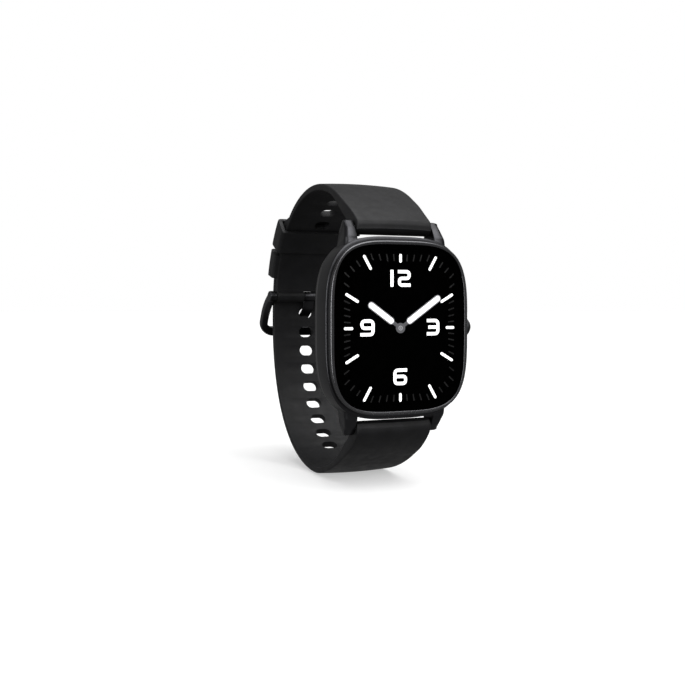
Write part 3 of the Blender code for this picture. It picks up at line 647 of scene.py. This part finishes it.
def fixed_keeper():
    """The keeper moulded on the short strap: an arch over the tail, joined to the edges."""
    root, wide, top = STRAP_HALF - 0.5, KEEPER_HALF, TAIL_TOP
    outer = [(root, -0.9, 0), (wide, -0.9, 0.8), (wide, top + 1.4, 1.6)]
    inner = [(root, 0.5, 0), (KEEPER_CLEAR, 0.5, 0), (KEEPER_CLEAR, top + LAYER_GAP, 0.5)]
    corners = outer + [(-x, out, r) for x, out, r in reversed(outer)]
    corners += [(-x, out, r) for x, out, r in inner] + list(reversed(inner))
    return band_loops(fillet(corners), *FIXED_KEEPER)


def band_loops(section, low, high, count=14):
    """Sweeps a closed section along the short strap, between two distances from the pin."""
    loops = []
    for i in range(count + 1):
        s = from_pin(low + (high - low) * i / count)
        loops.append([SHORT.place(s, p.x, p.y) for p in section])
    return skin(bmesh.new(), loops)


def short_strap():
    body = strap_body(SHORT, SHORT_THICKNESS, SHORT.length, False)
    strap = make("short_strap_silicone", body, SILICONE, "watch")
    ends = [(-STRAP_HALF, PIN_HOUSING_RADIUS), (STRAP_HALF, PIN_HOUSING_RADIUS)]
    boolean(strap, [turned("X", (0, *PIN), ends, 48), fixed_keeper()], "UNION")
    half, top = TONGUE_WIDTH / 2 + 0.25, PIN.y + KNUCKLE_RADIUS + 0.05
    places = [from_pin(SHORT_HOLES_FROM_PIN + HOLE_PITCH * i) for i in range(HOLES_ON_SHORT)]
    cuts = [hole_cutter(SHORT, s) for s in places]
    cuts.append(bore_cutter((BAR.y, BAR.z), BAR_BORE_RADIUS, BORE_REACH))
    cuts.append(bore_cutter(PIN, BAR_BORE_RADIUS, BORE_REACH))
    cuts.append(lever_slot(SHORT, LEVER_X - 0.7, LEVER_X + 2.0, 1.2, 0.0, 3.5))
    cuts.append(box((-half, PIN.x - 2.5, PIN.y - 3.5), (half, PIN.x + 2.5, top)))
    boolean(strap, cuts, "DIFFERENCE")
    soften(strap, 0.16)
    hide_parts("short_strap")


def long_strap():
    body = strap_body(LONG, LONG_THICKNESS, LONG.length - 0.6, True)
    strap = make("long_strap_silicone", body, SILICONE, "watch")
    first = JOIN_S - TONGUE_HOLE_AFTER_JOIN
    cuts = [hole_cutter(LONG, first - HOLE_PITCH * i) for i in range(-HOLES_ON_TAIL, HOLES_BELOW)]
    cuts.append(bore_cutter((BAR.y, -BAR.z), BAR_BORE_RADIUS, BORE_REACH))
    cuts.append(lever_slot(LONG, LEVER_X - 0.7, LEVER_X + 2.0, 1.2, 0.0, 3.5))
    boolean(strap, cuts, "DIFFERENCE")
    soften(strap, 0.16)
    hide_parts("long_strap")


def free_keeper():
    """A flat band round both straps, with rounded corners and edges."""
    floor, top = -SHORT_THICKNESS / 2 - LAYER_GAP, TAIL_TOP + LAYER_GAP
    inner = [(KEEPER_CLEAR, floor, 0.4), (KEEPER_CLEAR, top, 0.4), (-KEEPER_CLEAR, top, 0.4),
             (-KEEPER_CLEAR, floor, 0.4)]
    outer = [(KEEPER_HALF, floor - 1.1, 1.3), (KEEPER_HALF, top + 1.1, 1.3), (-KEEPER_HALF, top + 1.1, 1.3),
             (-KEEPER_HALF, floor - 1.1, 1.3)]
    low, high = FREE_KEEPER
    rows = []
    for corners, ends in ((outer, (low, high)), (inner, (high, low))):
        section = fillet(corners, 6)
        for i in range(15):
            s = from_pin(ends[0] + (ends[1] - ends[0]) * i / 14)
            rows.append([SHORT.place(s, p.x, p.y) for p in section])
    keeper = make("free_keeper_silicone", skin(bmesh.new(), rows, ring=True), SILICONE, "keeper")
    soften(keeper, 0.3)
    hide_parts("free_keeper")


# ---------------------------------------------------------------- buckle

def frame_path():
    turn = math.degrees(FRAME_REACH / FRAME_RADIUS)
    points, headings = arc_points(PIN, FRAME_HEADING, ((FRAME_RADIUS, turn),))
    return Path(points, headings, side=1)


def frame_stations():
    """Half of the U, as (x, distance, direction, width): along a rail and round its corner."""
    eye = [-EYE_END * math.cos(math.pi * i / 14) for i in range(15)]
    half = [(-RAIL_X, s, 90.0, RAIL_WIDTH) for s in eye + [2.4 + i for i in range(9)]]
    last = FRAME_REACH - FRAME_CORNER - CROSSBAR_WIDTH / 2
    steps = 12
    for i in range(steps + 1):
        turn = 90.0 - 90.0 * i / steps
        width = RAIL_WIDTH + (CROSSBAR_WIDTH - RAIL_WIDTH) * i / steps
        x = -RAIL_X + FRAME_CORNER * (1 - math.sin(math.radians(turn)))
        half.append((x, last + FRAME_CORNER * math.cos(math.radians(turn)), turn, width))
    return half


def buckle_frame():
    path = frame_path()
    stations = frame_stations()
    stations += [(-x, s, -turn, width) for x, s, turn, width in reversed(stations)]
    loops = []
    for x, s, turn, width in stations:
        half = (CROSSBAR_THICKNESS + (RAIL_THICKNESS - CROSSBAR_THICKNESS) * abs(turn) / 90.0) / 2
        if s <= EYE_END and abs(turn) == 90.0:
            eye = math.sqrt(max(EYE_RADIUS ** 2 - s * s, 0.0))
            half = max(eye, half) if s > 0 else max(eye, 0.3)
        side = (math.cos(math.radians(turn)), math.sin(math.radians(turn)))
        w = width / 2
        corners = [(-w, -half, 0.35), (w, -half, 0.35), (w, half, 0.45), (-w, half, 0.45)]
        loops.append([path.place(s + p.x * side[0], x - p.x * side[1], p.y) for p in fillet(corners, 4)])
    buckle = make("buckle_frame_metal", skin(bmesh.new(), loops), BUCKLE_METAL, "buckle")
    boolean(buckle, [tip_socket(way, PIN) for way in (-1, 1)], "DIFFERENCE")
    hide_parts("buckle_frame")


def buckle_tongue():
    """A flat prong with rounded edges and a rounded tip, hooked round the pin."""
    points, headings = arc_points(Vector(PIN) + Vector((0.1, -1.2)), -88.0, ((4.4, -55.0),))
    path = Path(points, headings, side=1)
    end = path.length + TONGUE_REACH
    places = [-0.9, -0.4] + [path.length * i / 8 for i in range(9)]
    places += [end - 1.2, end - 0.9, end - 0.6, end - 0.35, end - 0.15, end]
    loops = []
    for s in places:
        left = min(max(end - s, 0.0), 1.2)
        half = TONGUE_WIDTH / 2 - 0.9 + 0.9 * math.sqrt(1 - (1 - left / 1.2) ** 2)
        thick = TONGUE_THICKNESS / 2 * (0.7 + 0.3 * left / 1.2)
        corners = [(-half, -thick, 0.2), (half, -thick, 0.2), (half, thick, 0.3), (-half, thick, 0.3)]
        loops.append([path.place(s, p.x, p.y) for p in fillet(corners, 3)])
    tongue = make("buckle_tongue_metal", skin(bmesh.new(), loops), BUCKLE_METAL, "tongue")
    half = TONGUE_WIDTH / 2
    knuckle = turned("X", (0, *PIN), [(-half, KNUCKLE_RADIUS), (half, KNUCKLE_RADIUS)], 40)
    boolean(tongue, [knuckle], "UNION")
    boolean(tongue, [bore_cutter(PIN, BAR_BORE_RADIUS, 4.0)], "DIFFERENCE")
    soften(tongue, 0.12)
    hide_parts("buckle_tongue")


# ---------------------------------------------------------------- case

def lug(way_x, way_z):
    """One lug: a rounded side profile rooted in the case wall, with a rounded outer edge."""
    profile = [(-9.1, 0.0, 0), (-8.8, 24.0, 1.4), (-7.4, 26.5, 1.4), (-5.7, 28.3, 0.9), (-4.2, 28.6, 0.9),
               (-3.2, 27.8, 0.9), (LUG_REAR_Y, 26.0, 0.9), (LUG_REAR_Y, 0.0, 0)]
    stations = [(0.0, 0.3), (0.04, 0.1), (0.12, 0.0), (0.6, 0.0)]
    stations += [(0.6 + 0.4 * math.sin(t), 1.1 * (1 - math.cos(t))) for t in
                 (math.pi / 2 * i / 7 for i in range(1, 8))]
    loops = []
    for share, inset in stations:
        loop = []
        for p in fillet(profile):
            height = max(p.y or LUG_ROOT_Z, LUG_FLARE_TO_Z)
            outer_x = LUG_OUTER_X + max(LUG_FLARE_FROM_Z - height, 0.0) * LUG_FLARE
            x = LUG_INNER_X + (outer_x - LUG_INNER_X) * share
            y = p.x + max(-inset, min(inset, LUG_MIDDLE_Y - p.x))
            top = p.y - inset * 0.5 if p.y else case_edge_z(x) - CAVITY_INSET / 2
            loop.append((way_x * x, y, way_z * top))
        loops.append(loop)
    return skin(bmesh.new(), loops)


def case_frame():
    back = CASE_HIGH.y
    section = [(CAVITY_INSET, CASE_FRONT_Y, 0), (0.0, CASE_FRONT_Y, 0.45), (0.0, -3.4, 3.0),
               (0.5, back, 0.5), (CAVITY_INSET, back, 0)]
    case = make("case_frame_metal", outline_body(section, ring=True), CASE_METAL, "watch")
    boolean(case, [lug(x, z) for x in (-1, 1) for z in (-1, 1)], "UNION")
    inside, outside = 17.4, CASE_HALF_X + 0.5
    cuts = [turned("X", (0, CROWN.y, 0), [(17.0, CROWN_BORE_RADIUS), (22.0, CROWN_BORE_RADIUS)])]
    cuts += [tip_socket(way, (BAR.y, z)) for z in (BAR.z, -BAR.z) for way in (1, -1)]
    cuts += [box((inside, -7.2, z - 0.4), (outside, -5.2, z + 0.4)) for z in SPEAKER_SLOTS_Z]
    cuts.append(turned("X", (0, CROWN.y, MICROPHONE_Z), [(inside, 0.45), (outside, 0.45)], 24))
    boolean(case, cuts, "DIFFERENCE")
    soften(case, 0.14, angle=32.0)
    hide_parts("case_frame")


def bezel_ring():
    back = RING_HIGH.y
    edge = GLASS_INSET - 0.05
    section = [(RING_INSET, back, 0), (RING_INSET, RING_LOW.y, 0.75), (edge, RING_LOW.y + 0.12, 0.12),
               (edge, LIP_Y, 0), (LIP_INSET, LIP_Y, 0), (LIP_INSET, back, 0)]
    body = outline_body(section, ring=True, steps=8)
    ring = make("bezel_ring_metal", body, RING_METAL, "watch")
    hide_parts("bezel_ring")


def cover_glass():
    """Flat glass whose last few millimetres curve down to the ring."""
    back, front = GLASS_HIGH.y, GLASS_LOW.y
    steps = [(GLASS_INSET, back)]
    for i in range(9):
        t = i / 8
        steps.append((GLASS_INSET + 2.2 * t, -11.62 + (front + 11.62) * math.sin(t * math.pi / 2)))
    body = outline_body([(a, b, 0) for a, b in steps])
    lens = make("cover_glass_lens", body, GLASS, "watch")
    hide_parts("cover_glass")


def glass_border():
    """The black border printed behind the glass, from its edge to the display."""
    front, rear = GLASS_HIGH.y + 0.01, GLASS_HIGH.y + 0.03
    section = [(a, b, 0) for a, b in ((GLASS_INSET, front), (GLASS_INSET, rear), (BORDER_INSET, rear),
                                      (BORDER_INSET, front))]
    make("glass_border_ink", outline_body(section, ring=True), SCREEN_BLACK, "watch")


def crown_knob():
    """A chamfered knob with fine axial grooves on its rim."""
    base, tip = KNOB_LOW.x, KNOB_HIGH.x
    radius = KNOB_HIGH.z
    hollow = 0.8
    profile = [(base + 1.05, hollow), (base, hollow), (base, radius - 0.3),
               (base + 0.15, radius - 0.08), (base + 0.35, radius), (tip - 1.15, radius),
               (tip - 0.9, radius - 0.12), (tip - 0.35, radius - 0.75),
               (tip - 0.12, radius - 1.05), (tip - 0.05, radius - 1.3), (tip, radius - 1.45)]
    count = 144
    loops = []
    for along, r in profile:
        loop = []
        for i in range(count):
            turn = 2 * math.pi * i / count
            grooved = abs(r - radius) < 0.01
            depth = 0.09 if grooved and i % 4 in (2, 3) else 0.0
            loop.append((along, CROWN.y + (r - depth) * math.cos(turn), (r - depth) * math.sin(turn)))
        loops.append(loop)
    knob = make("crown_knob_metal", skin(bmesh.new(), loops), CASE_METAL, "crown", 30.0)
    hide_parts("crown_knob")


def back_cover():
    rear = box_mm("back_cover")[1].y
    corners = [(1.3, rear), (1.0, rear - 0.03), (0.8, rear - 0.12), (0.66, rear - 0.28), (0.6, rear - 0.5),
               (0.6, -1.25), (2.1, -1.25), (2.1, -2.0), (2.9, -2.0), (2.9, -1.25)]
    cover = make("back_cover_shell", outline_body([(a, b, 0) for a, b in corners]), BLACK_PLASTIC, "watch")
    radius = SENSOR_HIGH.x + 0.05
    cuts = [turned("Y", (0, 0, 0), [(-2.5, radius), (1.0, radius)], 96)]
    for number in range(1, 5):
        screw = middle_mm(f"back_screw_{number}")
        cuts.append(turned("Y", (screw.x, 0, screw.z), [(-3.0, 0.65), (0.5, 0.65)], 24))
        cuts.append(turned("Y", (screw.x, 0, screw.z), [(-0.85, 1.15), (0.5, 1.15)], 32))
    for side in ("left", "right"):
        contact = middle_mm(f"charge_contact_{side}")
        cuts.append(turned("Y", (contact.x, 0, contact.z), [(-2.5, 1.35), (1.0, 1.35)], 32))
    boolean(cover, cuts, "DIFFERENCE")
    soften(cover, 0.08)
    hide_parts("back_cover")


def sensor_window():
    """A dark lens with a rounded rim."""
    radius = SENSOR_HIGH.x
    profile = [(SENSOR_LOW.y, radius), (-0.35, radius)]
    profile += [(-0.35 + 0.35 * math.sin(t), radius - 0.6 * (1 - math.cos(t))) for t in
                (math.pi / 2 * i / 6 for i in range(1, 7))]
    body = turned("Y", (0, 0, 0), profile, 96)
    lens = make("sensor_window_lens", body, LENS_BLACK, "watch")
    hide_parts("sensor_window")


def back_screws():
    """Flat-headed screws with a cross recess."""
    for number in range(1, 5):
        low, high = box_mm(f"back_screw_{number}")
        centre = (low + high) / 2
        profile = [(low.y, 0.6), (-0.8, 0.6), (-0.8, 1.1), (high.y - 0.1, 1.1), (high.y, 1.0)]
        body = turned("Y", (centre.x, 0, centre.z), profile, 40)
        screw = make(f"back_screw_{number}_head", body, STEEL, "watch")
        arms = [box((centre.x - a, high.y - 0.35, centre.z - b), (centre.x + a, high.y + 0.2, centre.z + b))
                for a, b in ((0.65, 0.14), (0.14, 0.65))]
        boolean(screw, arms, "DIFFERENCE")
        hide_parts(f"back_screw_{number}")


# ---------------------------------------------------------------- dial face

DIAL_Y = SCREEN_LOW.y - 0.005
INK_THICKNESS = 0.02


def flat_shape(mesh, outline, layer=0):
    """A thin solid on the display with the given (x, z) outline."""
    front = DIAL_Y - INK_THICKNESS * (layer + 1) + 0.002
    loops = [[(x, y, z) for x, z in outline] for y in (DIAL_Y, front)]
    return skin(mesh, loops)


def capsule(mesh, start, end, width, layer=0):
    a, b = Vector(start), Vector(end)
    along = (b - a).normalized()
    across = Vector((-along.y, along.x))
    outline = []
    for centre, first in ((b, -90), (a, 90)):
        inner = centre - along * width / 2 * (1 if centre is b else -1)
        for k in range(9):
            turn = math.radians(first + 180 * k / 8)
            outline.append(inner + (along * math.cos(turn) + across * math.sin(turn)) * width / 2)
    return flat_shape(mesh, outline, layer)


def ribbon(mesh, line, width, radius):
    """A flat stroke along a bent line of (x, z) points, with rounded bends and square ends."""
    corners = [(x, z, radius if 0 < i < len(line) - 1 else 0) for i, (x, z) in enumerate(line)]
    points = fillet(corners, 6)
    left, right = [], []
    for i, p in enumerate(points):
        before = points[max(i - 1, 0)]
        after = points[min(i + 1, len(points) - 1)]
        first = (p - before).normalized() if i else (after - p).normalized()
        second = (after - p).normalized() if i < len(points) - 1 else first
        along = (first + second).normalized()
        across = Vector((-along.y, along.x)) * width / 2 / max(along.dot(first), 0.5)
        left.append(p + across)
        right.append(p - across)
    front = DIAL_Y - INK_THICKNESS
    rows = [[(a.x, DIAL_Y, a.y), (b.x, DIAL_Y, b.y), (b.x, front, b.y), (a.x, front, a.y)]
            for a, b in zip(left, right)]
    return skin(mesh, rows)


def numeral(mesh, digit, centre_x, centre_z, width):
    """Squared digits drawn with one stroke width on a box of the given width."""
    w, h = (width - STROKE) / 2, (GLYPH_HEIGHT - STROKE) / 2
    lines = {
        "1": [[(0, h + STROKE / 2), (0, -h - STROKE / 2)]],
        "2": [[(-w - STROKE / 2, h), (w, h), (w, 0), (-w, 0), (-w, -h), (w + STROKE / 2, -h)]],
        "3": [[(-w - STROKE / 2, h), (w, h), (w, -h), (-w - STROKE / 2, -h)],
              [(-w, 0), (w - STROKE / 2, 0)]],
        "6": [[(w + STROKE / 2, h), (-w, h), (-w, -h), (w, -h), (w, 0.1), (-w + STROKE / 2, 0.1)]],
    }
    lines["9"] = [[(-x, -z) for x, z in line] for line in lines["6"]]
    for line in lines[digit]:
        ribbon(mesh, [(centre_x + x, centre_z + z) for x, z in line], STROKE, 1.0)


def hour_marks():
    marks = bmesh.new()
    for hour in range(12):
        turn = math.radians(30 * hour)
        outward = Vector((math.sin(turn), math.cos(turn)))
        if hour % 3 == 0:
            centre = Vector((14.9 * outward.x, 18.3 * outward.y))
            half = 1.15 if hour % 6 == 0 else 1.3
        else:
            steep = hour % 6 in (1, 5)
            centre = Vector((math.copysign(9.57 if steep else 13.9, outward.x),
                             math.copysign(17.07 if steep else 7.87, outward.y)))
            half = 2.15
        capsule(marks, centre - outward * half, centre + outward * half, HOUR_MARK_WIDTH)
    make("dial_hour_marks", marks, WHITE_INK, "watch")


def minute_marks():
    marks = bmesh.new()
    for minute in range(60):
        if minute % 5 == 0:
            continue
        turn = math.radians(6 * minute)
        outward = Vector((math.sin(turn), math.cos(turn)))
        reach = min(DIAL_HALF_X / max(abs(outward.x), 0.01),
                    DIAL_HALF_Z / max(abs(outward.y), 0.01), DIAL_REACH)
        capsule(marks, outward * (reach - MINUTE_MARK_LENGTH), outward * reach, MINUTE_MARK_WIDTH)
    make("dial_minute_marks", marks, FAINT_INK, "watch")


def numerals():
    digits = bmesh.new()
    numeral(digits, "1", -2.5, 13.05, STROKE)
    numeral(digits, "2", 1.1, 13.05, 3.75)
    numeral(digits, "3", 9.75, 0.15, 3.8)
    numeral(digits, "6", -0.05, -12.85, 4.05)
    numeral(digits, "9", -9.55, 0.15, 4.05)
    make("dial_numerals", digits, WHITE_INK, "watch")


def hand(name, angle, end):
    """A lit bar with a grey rim, on a thin dark arm from the hub."""
    start, width = HAND_START, HAND_WIDTH
    turn = math.radians(angle)
    outward = Vector((math.sin(turn), math.cos(turn)))
    arm = capsule(bmesh.new(), outward * 0.4, outward * (start + 1.0), 0.95)
    make(f"{name}_arm", arm, HUB_INK, "watch")
    rim = capsule(bmesh.new(), outward * start, outward * end, width, 1)
    make(f"{name}_rim", rim, GREY_INK, "watch")
    bar = capsule(bmesh.new(), outward * (start + 0.25), outward * (end - 0.25), width - 0.55, 2)
    make(f"{name}_bar", bar, WHITE_INK, "watch")


def hub():
    """Four discs on top of each other, in alternating greys."""
    discs = ((1.35, HUB_INK), (0.62, GREY_INK), (0.4, HUB_INK), (0.2, GREY_INK))
    turns = [2 * math.pi * i / 40 for i in range(40)]
    for number, (radius, mat) in enumerate(discs):
        outline = [(radius * math.cos(t), radius * math.sin(t)) for t in turns]
        disc = flat_shape(bmesh.new(), outline, 3 + number)
        make(f"dial_hub_{number}", disc, mat, "watch")


# ---------------------------------------------------------------- carried-over nodes

def finish_nodes():
    """Gives each CAD node that still shows its material: steel unless it is named here."""
    looks = {
        "display_panel": SCREEN_BLACK, "display_flex": GOLD, "inner_frame": BLACK_PLASTIC, "battery": FOIL,
        "main_board": BOARD, "sensor_board": BOARD, "processor_shield": FOIL,
        "speaker": BLACK_PLASTIC, "microphone": FOIL, "crown_switch": FOIL, "crown_plunger": BLACK_PLASTIC,
        "crown_seal": SEAL, "glass_gasket": SEAL, "back_gasket": SEAL,
        "charge_contact_left": GOLD, "charge_contact_right": GOLD, "photodiode_left": BLACK_PLASTIC,
        "photodiode_right": BLACK_PLASTIC, "sensor_led_upper": LED, "sensor_led_lower": LED,
    }
    for name, node in NODES.items():
        look = looks.get(name, STEEL)
        node.data.materials.clear()
        node.data.materials.append(look)


# ---------------------------------------------------------------- stage, light, camera

def floor():
    """A pale floor that glows a little, as a light table does, so that shadows on it stay light."""
    mat, shader = new_material("pale_floor", (0.6,) * 3, 0.8, gloss=0.1)
    tint(mat, noise(mat, 40.0), (0.59,) * 3, (0.61,) * 3, shader.inputs["Base Color"])
    shader.inputs["Emission Color"].default_value = (1.0, 1.0, 1.0, 1.0)
    shader.inputs["Emission Strength"].default_value = FLOOR_GLOW
    mesh = bmesh.new()
    bmesh.ops.create_circle(mesh, cap_ends=True, segments=96, radius=6000.0,
                            matrix=Matrix.Translation((0, 0, CAD_BOX[0][2] / MM - 0.1)))
    ground = make("floor", mesh, mat, None)
    ground.visible_diffuse = False
    ground.visible_glossy = False


def area_light(name, place, power):
    """A round lamp, half a metre across, that points at the watch."""
    lamp = bpy.data.lights.new(name, "AREA")
    lamp.shape = "DISK"
    lamp.size = 0.5
    lamp.energy = power
    obj = bpy.data.objects.new(name, lamp)
    bpy.context.scene.collection.objects.link(obj)
    obj.location = place
    obj.rotation_euler = (-Vector(place)).to_track_quat("-Z", "Y").to_euler()


def studio_world():
    """White behind the watch, but only a dim even glow on it, as in a room with dark walls."""
    world = bpy.data.worlds.new("studio")
    bpy.context.scene.world = world
    world.use_nodes = True
    nodes, links = world.node_tree.nodes, world.node_tree.links
    backdrop = nodes["Background"]
    backdrop.inputs["Color"].default_value = (1.0, 1.0, 1.0, 1.0)
    backdrop.inputs["Strength"].default_value = 1.0
    glow = nodes.new("ShaderNodeBackground")
    glow.inputs["Color"].default_value = (1.0, 1.0, 1.0, 1.0)
    glow.inputs["Strength"].default_value = ROOM_GLOW
    ray = nodes.new("ShaderNodeLightPath")
    choice = nodes.new("ShaderNodeMixShader")
    links.new(ray.outputs["Is Camera Ray"], choice.inputs["Fac"])
    links.new(glow.outputs["Background"], choice.inputs[1])
    links.new(backdrop.outputs["Background"], choice.inputs[2])
    links.new(choice.outputs["Shader"], nodes["World Output"].inputs["Surface"])


def soft_box(name, place, strength):
    """A broad soft light, far away in the given direction."""
    lamp = bpy.data.lights.new(name, "SUN")
    lamp.angle = math.radians(SOFT_BOX_ANGLE)
    lamp.energy = strength
    obj = bpy.data.objects.new(name, lamp)
    bpy.context.scene.collection.objects.link(obj)
    obj.rotation_euler = Vector(place).to_track_quat("Z", "Y").to_euler()


def light():
    studio_world()
    soft_box("soft_box_above", (0.15, -0.08, 0.95), SOFT_BOX_LIGHT)
    soft_box("soft_box_front", (0.15, -0.72, 0.72), SOFT_BOX_LIGHT)
    area_light("side_light", (-0.6, -0.4, 0.03), 3.3)
    area_light("front_light", (0.1, -0.8, 0.35), 0.8)
    bpy.context.scene.view_settings.view_transform = "Standard"


def camera():
    """At the photograph's viewpoint: 27 degrees left of the dial, just above its middle."""
    lens = bpy.data.cameras.new("camera")
    lens.sensor_width = 36.0
    lens.lens = 48.6
    lens.clip_start = 0.01
    obj = bpy.data.objects.new("camera", lens)
    bpy.context.scene.collection.objects.link(obj)
    dial = Vector((0, -11.0, 0)) * MM
    turn, lift, distance = math.radians(26.81), math.radians(1.45), 0.2438
    away = Vector((-math.sin(turn) * math.cos(lift), -math.cos(turn) * math.cos(lift), math.sin(lift)))
    obj.location = dial + away * distance
    obj.rotation_euler = Euler((math.radians(90 - 2.343), math.radians(0.08), math.radians(-23.23)))
    bpy.context.scene.camera = obj


def build():
    finish_nodes()
    case_frame()
    bezel_ring()
    cover_glass()
    glass_border()
    back_cover()
    sensor_window()
    back_screws()
    crown_knob()
    short_strap()
    long_strap()
    free_keeper()
    buckle_frame()
    buckle_tongue()
    hour_marks()
    minute_marks()
    numerals()
    hand("hour_hand", -54.8, 11.3)
    hand("minute_hand", 55.0, 14.5)
    hub()
    floor()
    light()
    camera()


build()
